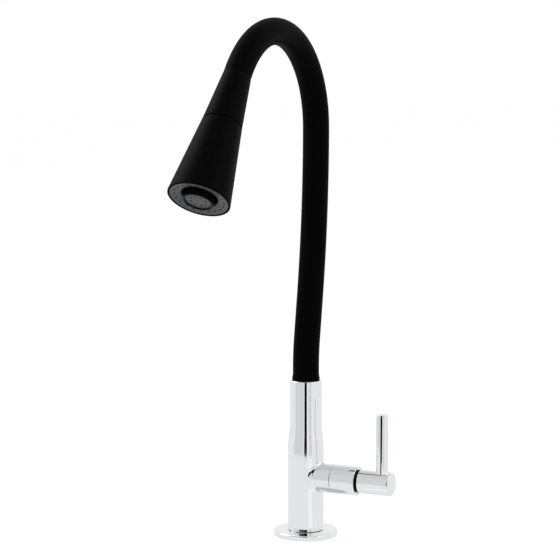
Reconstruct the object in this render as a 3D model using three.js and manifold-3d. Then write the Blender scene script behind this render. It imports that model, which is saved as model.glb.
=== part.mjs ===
// Flexible kitchen faucet: a chromed column with a side lever, and a bendable hose that ends in a spray head.
// Millimetres, +Z up. The deck surface is z = 0, the column stands on the Z axis, the spout reaches towards -Y
// and the lever's barrel points to +X.
import * as THREE from "three";
import { mergeVertices } from "three/addons/utils/BufferGeometryUtils.js";
import Module from "manifold-3d";

const wasm = await Module();
wasm.setup();

const degrees = Math.PI / 180;

// Clearances shared by all pieces
const gap = 0.3; // between pieces that touch or run in each other
const overrun = 2; // how far a cutting tool passes the face that it opens
const edge = 0.5; // small broken edge on machined pieces
const mergeDistance = 0.0001;

// Facets
const columnSides = 40;
const roundSides = 28;
const smallSides = 16;
const screwSides = 12;
const ringSectionSides = 6;
const hoseSides = 14;
const hoseStep = 10;
const armatureSides = 10;
const armatureStep = 12;
const ballSides = 14;
const ballRings = 8;
const tubeSides = 8;
const tubeStep = 16;

// Deck flange, gasket and what clamps the faucet from below
const flangeRadius = 28.5;
const flangeHeight = 5;
const flangeEdge = 1.2;
const gasketThickness = 2;
const gasketInset = 3;
const shankRadius = 10.45; // half inch pipe thread
const shankBore = 6;
const shankDrop = 55;
const shankGrip = 13;
const deckThickness = 20;
const washerRadius = 20;
const rubberWasherThickness = 2.5;
const steelWasherThickness = 1.5;
const nutHeight = 8;
const nutAcrossFlats = 27;
const ringSection = 0.9; // radius of the rubber in each sealing ring

// Column
const bodyRadius = 16;
const flareStart = 83;
const flareLength = 12;
const collarRadius = 14.25;
const bodyTop = 141;
const inletOffset = 6;
const passageRadius = 4;
const inletRoom = 3;

// Side branch and the valve in it, measured from the column's axis along +X
const barrelHeight = 53.5;
const branchRadius = 13;
const branchReach = 28;
const blendRadius = 3.5;
const chamberRadius = 10.3;
const seatWeb = 3;
const seatSealThickness = 2.2;
const seatSealWidth = 3;
const discThickness = 2.8;
const discRadius = 7.6;
const portRadius = 2.1;
const portOffset = 4.2;
const cartridgeWall = 1.4;
const cartridgeThreadLength = 12.7;
const cartridgeHexFlats = 19.6;
const cartridgeHexLength = 4;
const cartridgeNeckRadius = 8;
const windowWidth = 6;
const spindleHeadRadius = 6;
const spindleHeadLength = 3;
const stemRadius = 4.3;
const circlipThickness = 1;
const circlipRadius = 6.4;
const circlipDepth = 0.8;

// Valve sleeve, handle hub and lever
const sleeveReach = 51.5;
const sleeveWall = 1.15;
const sleeveEndWall = 3;
const glideThickness = 1.5;
const glideInset = 0.3;
const hubRadius = 10.5;
const hubEnd = 84;
const hubEdge = 1.6;
const hubDome = 0.5;
const stemGrip = 12.7;
const pinPlace = 73.9;
const pinRadius = 5.4;
const pinTop = 62; // above the barrel's axis
const pinSeat = 4;
const pinEdge = 0.6;
const setScrewRadius = 2;
const setScrewLength = 5;
const setScrewSocket = 1.1;
const setScrewPlace = 60;

// Swivel fitting in the top of the column
const swivelDepth = 29;
const swivelWall = 4;
const slipWasherThickness = 1;
const slipWasherWidth = 3;
const nippleBore = 5;
const nippleRise = 3.5; // above the column's top
const barbRadius = 4.2;
const barbBore = 3;
const barbLength = 12;
const lowerRingPlace = 5; // above the fitting's lower end
const catchPlace = 11;
const upperRingPlace = 18;
const catchWidth = 4.8;
const catchDepth = 1.6;

// Hose, outside to inside
const hoseRadius = 11.7;
const siliconeWall = 2.2;
const armatureRadius = 9;
const armatureBore = 7.4;
const ballClearance = 0.6;
const tubeRadius = 6;
const tubeBore = 4.5;
const crimpWall = 0.6;
const crimpLength = 8;
const hoseFlareRadius = 12.3;
const hoseFlareHeight = 4.5;

// Hose route, from the column's top to the spray head
const rootStraight = 12;
const lean = 9.5 * degrees;
const lowerBendRadius = 150;
const leanStraight = 38;
const upperBendRadius = 900;
const archRadius = 87;
const archTurn = 144 * degrees;
const bendPlaceShares = [0.19, 0.42, 0.62, 0.82]; // of the hose's length

// Spray head, measured along its axis from the end of the hose
const headLength = 118;
const neckRadius = 11.95;
const seamPlace = 44;
const seamRadius = 16.5;
const seamGap = 0.6;
const mouthRadius = 26.3;
const lipRadius = 0.8;
const shellWall = 2.2;
const hoseSeat = 3;
const tailCupDepth = 12.7;
const tailWeb = 6;
const tailFlange = 3;
const spigotRadius = 8;
const spigotEnd = 40;
const spigotBore = 3;
const spigotRecess = 2;
const spigotRecessWall = 0.8;
const spigotRingPlace = 36;
const snapRingPlace = 29;
const snapRingThickness = 1.2;
const snapRingDepth = 1;
const selectorThickness = 2;
const selectorPortRadius = 1.2;
const streamPortOffset = 2;
const sprayPortOffset = 6;
const webThickness = 2.4;
const streamTubeBore = 3.5;
const streamTubeRadius = 4.6;
const sprayTubeBore = 7.4;
const sprayTubeRadius = 10.3;
const roseDiscThickness = 2;
const roseDepth = 12.5;
const roseWall = 1.2;
const plateRecess = 0.6;
const plateThickness = 4;
const plateRadius = 24.4;
const plateLip = 1;
const plateOpening = 15.5;
const plateDish = 2.3;
const housingCupOverlap = 0.7;
const housingCupDepth = 9.2;
const nozzleRadius = 0.7;
const nozzleCircle = 20.7;
const nozzleCount = 20;
const aeratorFloor = 2.5;
const aeratorWall = 1.2;
const aeratorWasherThickness = 2;
const aeratorWasherWidth = 4;
const aeratorScreenThickness = 2;
const aeratorScreenOpening = 2;
const capRadius = 12.75;
const capWall = 0.65;
const capProud = 3; // beyond the nozzle plate
const capLength = 9.4;
const capLip = 0.9;
const capLipWidth = 1.65;
const jetDiscThickness = 2;
const jetRadius = 1;
const jetCircle = 6.5;
const jetCount = 8;
const sprayTurnPortAngle = 90 * degrees;

// Finishes
function finish(color, roughness, metalness) {
  return new THREE.MeshStandardMaterial({ color, roughness, metalness });
}
const chrome = finish(0xdfe1e3, 0.06, 1);
const brass = finish(0xb8963f, 0.3, 1);
const steel = finish(0x9b9c9e, 0.35, 1);
const silicone = finish(0x0c0c0d, 0.55, 0);
const blackPlastic = finish(0x111112, 0.45, 0);
const rubber = finish(0x1b1b1b, 0.8, 0);
const greyPlastic = finish(0x606163, 0.4, 0);
const whitePlastic = finish(0xe9e9e6, 0.4, 0);
const ceramic = finish(0xf2efe8, 0.25, 0);
const clearTube = finish(0xd9dde0, 0.3, 0);

// A closed geometry as a solid that can be joined and cut
function solid(geometry) {
  const bare = geometry.clone();
  for (const name of Object.keys(bare.attributes)) {
    if (name !== "position") bare.deleteAttribute(name);
  }
  const merged = mergeVertices(bare, mergeDistance);
  const vertProperties = merged.attributes.position.array;
  const triVerts = new Uint32Array(merged.index.array);
  return new wasm.Manifold(new wasm.Mesh({ numProp: 3, vertProperties, triVerts }));
}

// A joined or cut solid back as a geometry
function geometryOf(shape) {
  const { vertProperties, triVerts } = shape.getMesh();
  const geometry = new THREE.BufferGeometry();
  geometry.setAttribute("position", new THREE.BufferAttribute(new Float32Array(vertProperties), 3));
  geometry.setIndex(new THREE.BufferAttribute(new Uint32Array(triVerts), 1));
  geometry.computeVertexNormals();
  return geometry;
}

// The first solid with all others cut out of it
function cut(first, ...tools) {
  return tools.reduce((left, tool) => left.subtract(solid(tool)), first);
}

// Adds one named piece to a group
function addPiece(group, name, material, shape) {
  const geometry = shape.isBufferGeometry ? shape : geometryOf(shape);
  const mesh = new THREE.Mesh(geometry, material);
  mesh.name = name;
  group.add(mesh);
}

// A profile of [radius, height] turned round Z: up the outside, then down the inside
function revolve(profile, sides = roundSides) {
  const points = profile.map(([radius, height]) => new THREE.Vector2(radius, height));
  if (profile[0][0] > 0) points.push(points[0].clone());
  return new THREE.LatheGeometry(points, sides).rotateX(Math.PI / 2);
}

function disc(radius, from, to, sides = roundSides) {
  return revolve([[0, from], [radius, from], [radius, to], [0, to]], sides);
}

function ring(inner, outer, from, to, sides = roundSides) {
  return revolve([[outer, from], [outer, to], [inner, to], [inner, from]], sides);
}

// Profile points that round an upper outer corner
function roundedCorner(radius, height, rounding, steps = 3) {
  return Array.from({ length: steps + 1 }, (_, i) => {
    const angle = (i / steps) * (Math.PI / 2);
    return [
      radius - rounding * (1 - Math.cos(angle)),
      height - rounding * (1 - Math.sin(angle)),
    ];
  });
}

// A rubber sealing ring round Z
function sealingRing(centreRadius, height) {
  const rubberRing = new THREE.TorusGeometry(centreRadius, ringSection, ringSectionSides, smallSides);
  return rubberRing.translate(0, 0, height);
}

// Points round a circle, in the order that an outline needs
function circlePoints(radius, sides) {
  return Array.from({ length: sides }, (_, i) => {
    const angle = (i / sides) * 2 * Math.PI;
    return new THREE.Vector2(radius * Math.cos(angle), radius * Math.sin(angle));
  });
}

function hexagonPoints(acrossFlats) {
  return circlePoints(acrossFlats / 2 / Math.cos(30 * degrees), 6);
}

function prism(points, from, to) {
  const outline = new THREE.Shape(points);
  return new THREE.ExtrudeGeometry(outline, { depth: to - from, bevelEnabled: false }).translate(0, 0, from);
}

// Groove in a turned surface, as profile points that go up past it
function groove(radius, depth, centre, width) {
  return [
    [radius, centre - width / 2],
    [radius - depth, centre - width / 2],
    [radius - depth, centre + width / 2],
    [radius, centre + width / 2],
  ];
}
const ringGrooveDepth = 2 * ringSection + gap;
const ringGrooveWidth = 2 * (ringSection + gap);
const ringCentreFrom = (surface) => surface - ringSection;

// The hose's centreline lies in the plane X = 0: heading is measured from +Z towards +Y
const hoseStretches = [
  { length: rootStraight, turn: 0 },
  { length: lowerBendRadius * lean, turn: lean },
  { length: leanStraight, turn: 0 },
  { length: upperBendRadius * lean, turn: -lean },
  { length: archRadius * archTurn, turn: -archTurn },
  { length: headLength, turn: 0 },
];
const hoseLength = hoseStretches.slice(0, -1).reduce((sum, stretch) => sum + stretch.length, 0);

function hoseAt(distance) {
  const place = { y: 0, z: bodyTop, heading: 0 };
  let left = distance;
  for (const stretch of hoseStretches) {
    const run = Math.min(left, stretch.length);
    const turn = (stretch.turn * run) / stretch.length;
    const chord = turn === 0 ? run : (run * Math.sin(turn / 2)) / (turn / 2);
    place.y += chord * Math.sin(place.heading + turn / 2);
    place.z += chord * Math.cos(place.heading + turn / 2);
    place.heading += turn;
    left -= run;
  }
  return place;
}

class HoseLine extends THREE.Curve {
  constructor(from, to) {
    super();
    this.from = from;
    this.to = to;
  }

  getPoint(share, target = new THREE.Vector3()) {
    const { y, z } = hoseAt(this.from + share * (this.to - this.from));
    return target.set(0, y, z);
  }
}

// A round bar that follows the hose from one distance to another
function hoseBar(radius, from, to, sides = hoseSides, step = hoseStep) {
  const line = new HoseLine(from, to);
  const steps = Math.ceil((to - from) / step);
  const outline = new THREE.Shape(circlePoints(radius, sides));
  return new THREE.ExtrudeGeometry(outline, { steps, extrudePath: line, bevelEnabled: false });
}

function ballAt(distance, radius) {
  const { y, z } = hoseAt(distance);
  return new THREE.SphereGeometry(radius, ballSides, ballRings).translate(0, y, z);
}

// Flange, gasket, threaded shank and the nut that clamps them to the deck
const shankClear = shankRadius + gap;
const shankTop = flangeHeight + shankGrip;

function deckParts() {
  const group = new THREE.Group();
  const recessRadius = flangeRadius - gasketInset;
  const recessTop = gasketThickness + gap;
  const flange = revolve([
    [recessRadius, gap],
    [flangeRadius, gap],
    ...roundedCorner(flangeRadius, flangeHeight, flangeEdge),
    [shankClear, flangeHeight],
    [shankClear, recessTop],
    [recessRadius, recessTop],
  ], columnSides);
  addPiece(group, "deck_flange", chrome, flange);
  addPiece(group, "deck_gasket", rubber, ring(shankClear, recessRadius - gap, 0, gasketThickness));

  const ringPlace = shankTop - ringGrooveWidth;
  const shank = revolve([
    [shankRadius - edge, -shankDrop],
    [shankRadius, -shankDrop + edge],
    ...groove(shankRadius, ringGrooveDepth, ringPlace, ringGrooveWidth),
    [shankRadius, shankTop],
    [shankBore, shankTop],
    [shankBore, -shankDrop],
  ], smallSides);
  addPiece(group, "threaded_shank", brass, shank);
  addPiece(group, "shank_seal", rubber, sealingRing(ringCentreFrom(shankRadius), ringPlace));

  const rubberBottom = -deckThickness - rubberWasherThickness;
  const steelTop = rubberBottom - gap;
  const nutTop = steelTop - steelWasherThickness - gap;
  const rubberWasher = ring(shankClear, washerRadius, rubberBottom, -deckThickness);
  const steelWasher = ring(shankClear, washerRadius, steelTop - steelWasherThickness, steelTop);
  const nut = cut(
    solid(prism(hexagonPoints(nutAcrossFlats), nutTop - nutHeight, nutTop)),
    disc(shankClear, nutTop - nutHeight - overrun, nutTop + overrun, smallSides),
  );
  addPiece(group, "deck_rubber_washer", rubber, rubberWasher);
  addPiece(group, "deck_steel_washer", steel, steelWasher);
  addPiece(group, "lock_nut", brass, nut);
  return group;
}

// Column with its side branch: the two cylinders meet in a rolling-ball blend
const chamberFloor = passageRadius - inletOffset + seatWeb;
const swivelRadius = collarRadius - swivelWall;
const swivelFloor = bodyTop - swivelDepth;
const nippleRadius = swivelRadius - gap;
const nippleBottom = swivelFloor + slipWasherThickness + 2 * gap;
const catchHeight = nippleBottom + catchPlace;

function alongBranch(geometry) {
  return geometry.rotateY(Math.PI / 2).translate(0, 0, barrelHeight);
}

function branchBlend() {
  const ballRadius = Math.min(blendRadius, bodyRadius - branchRadius - gap);
  const arcSteps = 4;
  const sectionPoints = arcSteps + 2;
  const positions = [];
  const index = [];
  for (let i = 0; i < roundSides; i += 1) {
    const angle = (i / roundSides) * 2 * Math.PI;
    const radial = new THREE.Vector3(0, -Math.cos(angle), -Math.sin(angle));
    const ball = radial.clone().multiplyScalar(branchRadius + ballRadius);
    ball.x = Math.sqrt((bodyRadius + ballRadius) ** 2 - ball.y ** 2);
    const toBranch = radial.clone().negate();
    const toBody = new THREE.Vector3(-ball.x, -ball.y, 0).normalize();
    const sweep = toBranch.angleTo(toBody);
    for (let k = 0; k <= arcSteps; k += 1) {
      const share = k / arcSteps;
      const point = toBranch.clone().multiplyScalar(Math.sin((1 - share) * sweep));
      point.addScaledVector(toBody, Math.sin(share * sweep));
      point.multiplyScalar(ballRadius / Math.sin(sweep)).add(ball);
      positions.push(point.x, point.y, point.z);
    }
    const inner = radial.clone().multiplyScalar(branchRadius - ballRadius);
    inner.x = Math.sqrt(bodyRadius ** 2 - inner.y ** 2) - ballRadius;
    positions.push(inner.x, inner.y, inner.z);
    for (let k = 0; k < sectionPoints; k += 1) {
      const here = i * sectionPoints + k;
      const beside = i * sectionPoints + ((k + 1) % sectionPoints);
      const next = ((i + 1) % roundSides) * sectionPoints + k;
      const nextBeside = ((i + 1) % roundSides) * sectionPoints + ((k + 1) % sectionPoints);
      index.push(here, beside, next, beside, nextBeside, next);
    }
  }
  const geometry = new THREE.BufferGeometry();
  geometry.setAttribute("position", new THREE.Float32BufferAttribute(positions, 3));
  geometry.setIndex(index);
  return geometry.translate(0, 0, barrelHeight);
}

function columnProfile() {
  const bottom = flangeHeight + gap;
  const flareSteps = 6;
  const flare = Array.from({ length: flareSteps + 1 }, (_, i) => {
    const share = (1 - Math.cos((i / flareSteps) * Math.PI)) / 2;
    return [
      bodyRadius - share * (bodyRadius - collarRadius),
      flareStart + (i / flareSteps) * flareLength,
    ];
  });
  return [
    [0, bottom],
    [bodyRadius - edge, bottom],
    [bodyRadius, bottom + edge],
    ...flare,
    ...roundedCorner(collarRadius, bodyTop, edge, 2),
    [0, bodyTop],
  ];
}

function bodyCasting() {
  const group = new THREE.Group();
  const branch = revolve([
    [0, 0],
    [branchRadius, 0],
    [branchRadius, branchReach - edge],
    [branchRadius - edge, branchReach],
    [0, branchReach],
  ]);
  const outside = solid(revolve(columnProfile(), columnSides))
    .add(solid(alongBranch(branch)))
    .add(solid(branchBlend()));
  const inletTop = shankTop + inletRoom;
  const shankSocket = disc(shankClear, -overrun, inletTop, smallSides);
  const riser = disc(passageRadius, inletTop - overrun, barrelHeight + passageRadius, screwSides);
  riser.translate(-inletOffset, 0, 0);
  const inletPort = alongBranch(disc(passageRadius, -inletOffset, chamberFloor + overrun, screwSides));
  const chamber = alongBranch(disc(chamberRadius, chamberFloor, branchReach + overrun, roundSides));
  const outlet = disc(passageRadius, barrelHeight, swivelFloor + overrun, screwSides);
  outlet.translate(inletOffset, 0, 0);
  const swivelSocket = disc(swivelRadius, swivelFloor, bodyTop + overrun, roundSides);
  const catchHole = disc(setScrewRadius + gap, 0, collarRadius + overrun, screwSides);
  catchHole.rotateX(-Math.PI / 2).translate(0, 0, catchHeight);
  const body = cut(outside, shankSocket, riser, inletPort, chamber, outlet, swivelSocket, catchHole);
  addPiece(group, "body_casting", chrome, body);
  return group;
}

// A set screw along Z with its tip down, standing on the given height
function setScrew(tip) {
  const head = tip + setScrewLength;
  const shaft = solid(revolve([
    [0, tip],
    [setScrewRadius - edge, tip],
    [setScrewRadius, tip + edge],
    [setScrewRadius, head],
    [0, head],
  ], screwSides));
  const socketDepth = setScrewLength / 2;
  return cut(shaft, prism(circlePoints(setScrewSocket, 6), head - socketDepth, head + overrun));
}

// Quarter-turn valve in the branch. In this group +Z runs along the barrel, towards the lever
const sealStart = chamberFloor + gap;
const fixedDiscStart = sealStart + seatSealThickness + gap;
const movingDiscStart = fixedDiscStart + discThickness + gap;
const headStart = movingDiscStart + discThickness + gap;
const headEnd = headStart + spindleHeadLength;
const cavityEnd = headEnd + gap;
const cavityRadius = discRadius + gap;
const hexStart = branchReach + gap;
const hexEnd = hexStart + cartridgeHexLength;
const sleeveStart = branchReach + gap;
const neckEnd = sleeveReach - sleeveEndWall + gap;
const stemClear = stemRadius + gap;
const stemRingPlace = (hexStart + neckEnd) / 2;
const circlipStart = neckEnd + gap;
const glideStart = sleeveReach + gap;
const hubStart = glideStart + glideThickness + gap;
const stemEnd = hubStart + stemGrip;

function barrelGroup() {
  const group = new THREE.Group();
  group.position.z = barrelHeight;
  group.rotation.y = Math.PI / 2;
  return group;
}

function portedDisc(start, portAngle) {
  const ports = [portAngle, portAngle + Math.PI].map((angle) => {
    const port = disc(portRadius, start - overrun, start + discThickness + overrun, screwSides);
    return port.translate(portOffset * Math.cos(angle), portOffset * Math.sin(angle), 0);
  });
  return cut(solid(disc(discRadius, start, start + discThickness, smallSides)), ...ports);
}

function valveParts() {
  const group = barrelGroup();
  const sealEnd = sealStart + seatSealThickness;
  addPiece(group, "seat_seal", rubber, ring(discRadius - seatSealWidth, discRadius, sealStart, sealEnd, smallSides));
  addPiece(group, "fixed_ceramic_disc", ceramic, portedDisc(fixedDiscStart, 0));

  const threadStart = branchReach - cartridgeThreadLength;
  const threadRadius = chamberRadius - gap;
  const slimRadius = cavityRadius + cartridgeWall;
  const cartridgeStart = sealEnd - gap;
  const turned = solid(revolve([
    [slimRadius, cartridgeStart],
    [slimRadius, threadStart],
    [threadRadius, threadStart],
    [threadRadius, hexStart],
    [cartridgeNeckRadius, hexStart],
    [cartridgeNeckRadius, neckEnd],
    [stemClear, neckEnd],
    [stemClear, cavityEnd],
    [cavityRadius, cavityEnd],
    [cavityRadius, cartridgeStart],
  ]));
  const hexagon = cut(
    solid(prism(hexagonPoints(cartridgeHexFlats), hexStart, hexEnd)),
    disc(stemClear, hexStart - overrun, hexEnd + overrun, roundSides),
  );
  const window = new THREE.BoxGeometry(3 * slimRadius, windowWidth, spindleHeadLength);
  window.translate(0, 0, (headStart + headEnd) / 2);
  addPiece(group, "valve_cartridge", brass, cut(turned.add(hexagon), window));

  const endWallStart = sleeveReach - sleeveEndWall;
  const endBore = cartridgeNeckRadius + gap;
  const sleeve = revolve([
    [branchRadius, sleeveStart],
    ...roundedCorner(branchRadius, sleeveReach, edge, 2),
    [endBore, sleeveReach],
    [endBore, endWallStart],
    [branchRadius - sleeveWall, endWallStart],
    [branchRadius - sleeveWall, sleeveStart],
  ]);
  addPiece(group, "valve_sleeve", chrome, sleeve);
  return group;
}

// Everything that turns with the lever
function leverParts() {
  const group = barrelGroup();
  const quarter = Math.PI / 2;
  addPiece(group, "moving_ceramic_disc", ceramic, portedDisc(movingDiscStart, quarter));

  const spindle = revolve([
    [0, headStart],
    [spindleHeadRadius, headStart],
    [spindleHeadRadius, headEnd],
    [stemRadius, headEnd],
    ...groove(stemRadius, ringGrooveDepth, stemRingPlace, ringGrooveWidth),
    ...groove(stemRadius, circlipDepth, circlipStart + circlipThickness / 2, circlipThickness + 2 * gap),
    [stemRadius, stemEnd],
    [0, stemEnd],
  ], smallSides);
  addPiece(group, "spindle", brass, spindle);
  addPiece(group, "spindle_seal", rubber, sealingRing(ringCentreFrom(stemRadius), stemRingPlace));
  const circlipInner = stemRadius - circlipDepth + gap;
  const circlip = ring(circlipInner, circlipRadius, circlipStart, circlipStart + circlipThickness, smallSides);
  addPiece(group, "spindle_circlip", steel, circlip);

  const glideRadius = hubRadius - glideInset;
  const glide = ring(stemClear, glideRadius, glideStart, glideStart + glideThickness);
  addPiece(group, "glide_ring", blackPlastic, glide);

  const hub = solid(revolve([
    [0, hubStart],
    [hubRadius, hubStart],
    ...roundedCorner(hubRadius, hubEnd - hubDome, hubEdge),
    [0, hubEnd],
  ]));
  const stemBore = disc(stemClear, hubStart - overrun, stemEnd + gap, smallSides);
  const pinSocket = disc(pinRadius + gap, pinSeat, hubRadius + overrun, smallSides);
  pinSocket.rotateY(-Math.PI / 2).translate(0, 0, pinPlace);
  const screwHole = disc(setScrewRadius + gap, stemRadius, hubRadius + overrun, screwSides);
  screwHole.rotateY(Math.PI / 2).translate(0, 0, setScrewPlace);
  addPiece(group, "handle_hub", chrome, cut(hub, stemBore, pinSocket, screwHole));

  const pinStart = pinSeat + gap;
  const pin = revolve([
    [0, pinStart],
    [pinRadius, pinStart],
    ...roundedCorner(pinRadius, pinTop, pinEdge, 2),
    [0, pinTop],
  ], smallSides);
  pin.rotateY(-Math.PI / 2).translate(0, 0, pinPlace);
  addPiece(group, "lever_pin", chrome, pin);

  const screw = geometryOf(setScrew(stemRadius + gap));
  screw.rotateY(Math.PI / 2).translate(0, 0, setScrewPlace);
  addPiece(group, "hub_set_screw", steel, screw);
  return group;
}

// Swivel fitting that carries the hose in the column's top
const nippleTop = bodyTop + nippleRise;
const hoseInside = nippleTop + gap; // where the hose's inner pieces start
const barbTop = hoseInside + barbLength;

function swivelParts() {
  const group = new THREE.Group();
  const washerTop = swivelFloor + gap + slipWasherThickness;
  const washer = ring(nippleRadius - slipWasherWidth, nippleRadius, swivelFloor + gap, washerTop, smallSides);
  addPiece(group, "slip_washer", whitePlastic, washer);

  const lowerRing = nippleBottom + lowerRingPlace;
  const upperRing = nippleBottom + upperRingPlace;
  const nipple = revolve([
    [nippleRadius, nippleBottom],
    ...groove(nippleRadius, ringGrooveDepth, lowerRing, ringGrooveWidth),
    ...groove(nippleRadius, catchDepth, catchHeight, catchWidth),
    ...groove(nippleRadius, ringGrooveDepth, upperRing, ringGrooveWidth),
    [nippleRadius, nippleTop],
    [barbRadius, nippleTop],
    [barbRadius, barbTop],
    [barbBore, barbTop],
    [barbBore, bodyTop],
    [nippleBore, bodyTop - (nippleBore - barbBore)],
    [nippleBore, nippleBottom],
  ], smallSides);
  addPiece(group, "swivel_nipple", brass, nipple);
  addPiece(group, "swivel_seal_lower", rubber, sealingRing(ringCentreFrom(nippleRadius), lowerRing));
  addPiece(group, "swivel_seal_upper", rubber, sealingRing(ringCentreFrom(nippleRadius), upperRing));

  const screw = geometryOf(setScrew(nippleRadius - catchDepth + gap));
  screw.rotateX(-Math.PI / 2).translate(0, 0, catchHeight);
  addPiece(group, "swivel_catch_screw", steel, screw);

  const crimpInner = tubeRadius + gap;
  const crimp = ring(crimpInner, crimpInner + crimpWall, hoseInside, hoseInside + crimpLength, smallSides);
  addPiece(group, "lower_crimp", steel, crimp);
  return group;
}

// Hose: a silicone skin, an armature of wound steel that keeps its bend, and the water tube.
// Armature sections meet in ball-shaped ends, centred where the hose is free to bend
const hoseInnerStart = hoseInside - bodyTop;
const bendPlaces = bendPlaceShares.map((share) => share * hoseLength);
const armatureEnd = hoseLength + hoseSeat;
const tubeEnd = armatureEnd + tailCupDepth;

function armatureSection(number) {
  const first = number === 0;
  const last = number === bendPlaces.length;
  const from = first ? hoseInnerStart : bendPlaces[number - 1];
  const to = last ? armatureEnd : bendPlaces[number];
  let section = solid(hoseBar(armatureRadius, from, to, armatureSides, armatureStep));
  if (!last) section = section.add(solid(ballAt(to, armatureRadius)));
  if (!first) section = cut(section, ballAt(from, armatureRadius + ballClearance));
  const boreEnd = to + armatureRadius + overrun;
  const bore = hoseBar(armatureBore, from - overrun, boreEnd, armatureSides, armatureStep);
  return cut(section, bore);
}

function siliconeSkin() {
  const start = gap;
  const flareTop = start + hoseFlareHeight;
  const skin = solid(hoseBar(hoseRadius, start, hoseLength));
  const flare = revolve([
    [0, bodyTop + start],
    [hoseFlareRadius, bodyTop + start],
    [hoseFlareRadius, bodyTop + start + hoseFlareHeight / 2],
    [hoseRadius, bodyTop + flareTop],
    [0, bodyTop + flareTop],
  ]);
  const bore = hoseBar(hoseRadius - siliconeWall, hoseInnerStart - gap, hoseLength + overrun);
  const nippleRoom = disc(nippleRadius + gap, bodyTop - overrun, hoseInside, roundSides);
  return cut(skin.add(solid(flare)), bore, nippleRoom);
}

function waterTube() {
  const outline = new THREE.Shape(circlePoints(tubeRadius, tubeSides));
  const bore = circlePoints(tubeBore / Math.cos(Math.PI / tubeSides), tubeSides);
  outline.holes.push(new THREE.Path(bore.reverse()));
  const steps = Math.ceil((tubeEnd - hoseInnerStart) / tubeStep);
  const extrudePath = new HoseLine(hoseInnerStart, tubeEnd);
  return new THREE.ExtrudeGeometry(outline, { steps, extrudePath, bevelEnabled: false });
}

function hoseParts() {
  const group = new THREE.Group();
  addPiece(group, "silicone_hose", silicone, siliconeSkin());
  addPiece(group, "water_tube", clearTube, waterTube());
  for (let number = 0; number <= bendPlaces.length; number += 1) {
    addPiece(group, "armature_" + (number + 1), steel, armatureSection(number));
  }
  return group;
}

// Spray head. In this group +Z runs along the head's axis, from the hose to the mouth
const mouthFace = headLength - plateRecess;
const neckSlope = (seamRadius - neckRadius) / seamPlace;
const coneSlope = (mouthRadius - seamRadius) / (headLength - seamPlace);
const neckAt = (place) => neckRadius + neckSlope * place;
const coneAt = (place) => seamRadius + coneSlope * (place - seamPlace);
const tailStart = hoseSeat + gap;
const tailCupEnd = tailStart + tailCupDepth;
const tailWebEnd = tailCupEnd + tailWeb;
const tailFlangeStart = tailWebEnd + gap;
const tailFlangeEnd = tailFlangeStart + tailFlange;
const tailRadius = armatureRadius;
const selectorStart = spigotEnd + gap;
const selectorEnd = selectorStart + selectorThickness;
const webStart = selectorEnd + gap;
const webEnd = webStart + webThickness;
const socketStart = tailFlangeEnd + gap;
const plateStart = mouthFace - plateThickness;
const roseFloor = plateStart - roseDepth;
const roseStart = roseFloor - roseDiscThickness;
const housingStart = plateStart - gap - housingCupDepth;
const housingFloorEnd = housingStart + aeratorFloor;
const capEnd = mouthFace + capProud;
const capLipStart = capEnd - capLip;
const jetDiscEnd = capLipStart - gap;
const jetDiscStart = jetDiscEnd - jetDiscThickness;
const capThreadRadius = capRadius - capWall - gap;

function headGroup() {
  const { y, z } = hoseAt(hoseLength);
  const group = new THREE.Group();
  group.position.set(0, y, z);
  group.rotation.x = archTurn;
  return group;
}

function headParts() {
  const group = headGroup();
  const neckBore = tailRadius + gap;
  const shellEnd = seamPlace - seamGap / 2;
  const neck = revolve([
    [neckAt(0), gap],
    [neckAt(shellEnd), shellEnd],
    [neckAt(shellEnd) - shellWall, shellEnd],
    [neckAt(tailFlangeStart) - shellWall, tailWebEnd],
    [neckBore, tailWebEnd],
    [neckBore, gap],
  ]);
  addPiece(group, "head_neck_shell", silicone, neck);

  const ringCentre = ringCentreFrom(spigotRadius);
  const tail = revolve([
    [tailRadius, tailStart],
    [tailRadius, tailFlangeStart],
    [neckAt(tailFlangeStart) - shellWall - gap, tailFlangeStart],
    [neckAt(tailFlangeStart) - shellWall - gap, tailFlangeEnd],
    [spigotRadius, tailFlangeEnd],
    ...groove(spigotRadius, snapRingDepth, snapRingPlace, snapRingThickness + 2 * gap),
    ...groove(spigotRadius, ringGrooveDepth, spigotRingPlace, ringGrooveWidth),
    [spigotRadius, spigotEnd],
    [spigotRadius - spigotRecessWall, spigotEnd],
    [spigotRadius - spigotRecessWall, spigotEnd - spigotRecess],
    [spigotBore, spigotEnd - spigotRecess],
    [spigotBore, tailStart],
    [barbRadius, tailStart],
    [barbRadius, tailCupEnd],
    [armatureBore, tailCupEnd],
    [armatureBore, tailStart],
  ], smallSides);
  addPiece(group, "hose_tail", brass, tail);
  addPiece(group, "spigot_seal", rubber, sealingRing(ringCentre, spigotRingPlace));
  const crimpInner = tubeRadius + gap;
  const crimpEnd = tailCupEnd - gap;
  const crimp = ring(crimpInner, crimpInner + crimpWall, crimpEnd - crimpLength, crimpEnd, smallSides);
  addPiece(group, "upper_crimp", steel, crimp);

  const snapInner = spigotRadius - snapRingDepth + gap;
  const snapOuter = spigotRadius + gap + snapRingDepth - gap;
  const snapStart = snapRingPlace - snapRingThickness / 2;
  const snapRing = ring(snapInner, snapOuter, snapStart, snapStart + snapRingThickness, smallSides);
  addPiece(group, "head_snap_ring", steel, snapRing);

  const holes = [streamPortOffset, sprayPortOffset].map((offset) =>
    disc(selectorPortRadius, selectorStart - overrun, selectorEnd + overrun, screwSides).translate(offset, 0, 0),
  );
  const selector = solid(disc(spigotRadius, selectorStart, selectorEnd, smallSides));
  addPiece(group, "selector_disc", whitePlastic, cut(selector, ...holes));
  return group;
}

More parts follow.
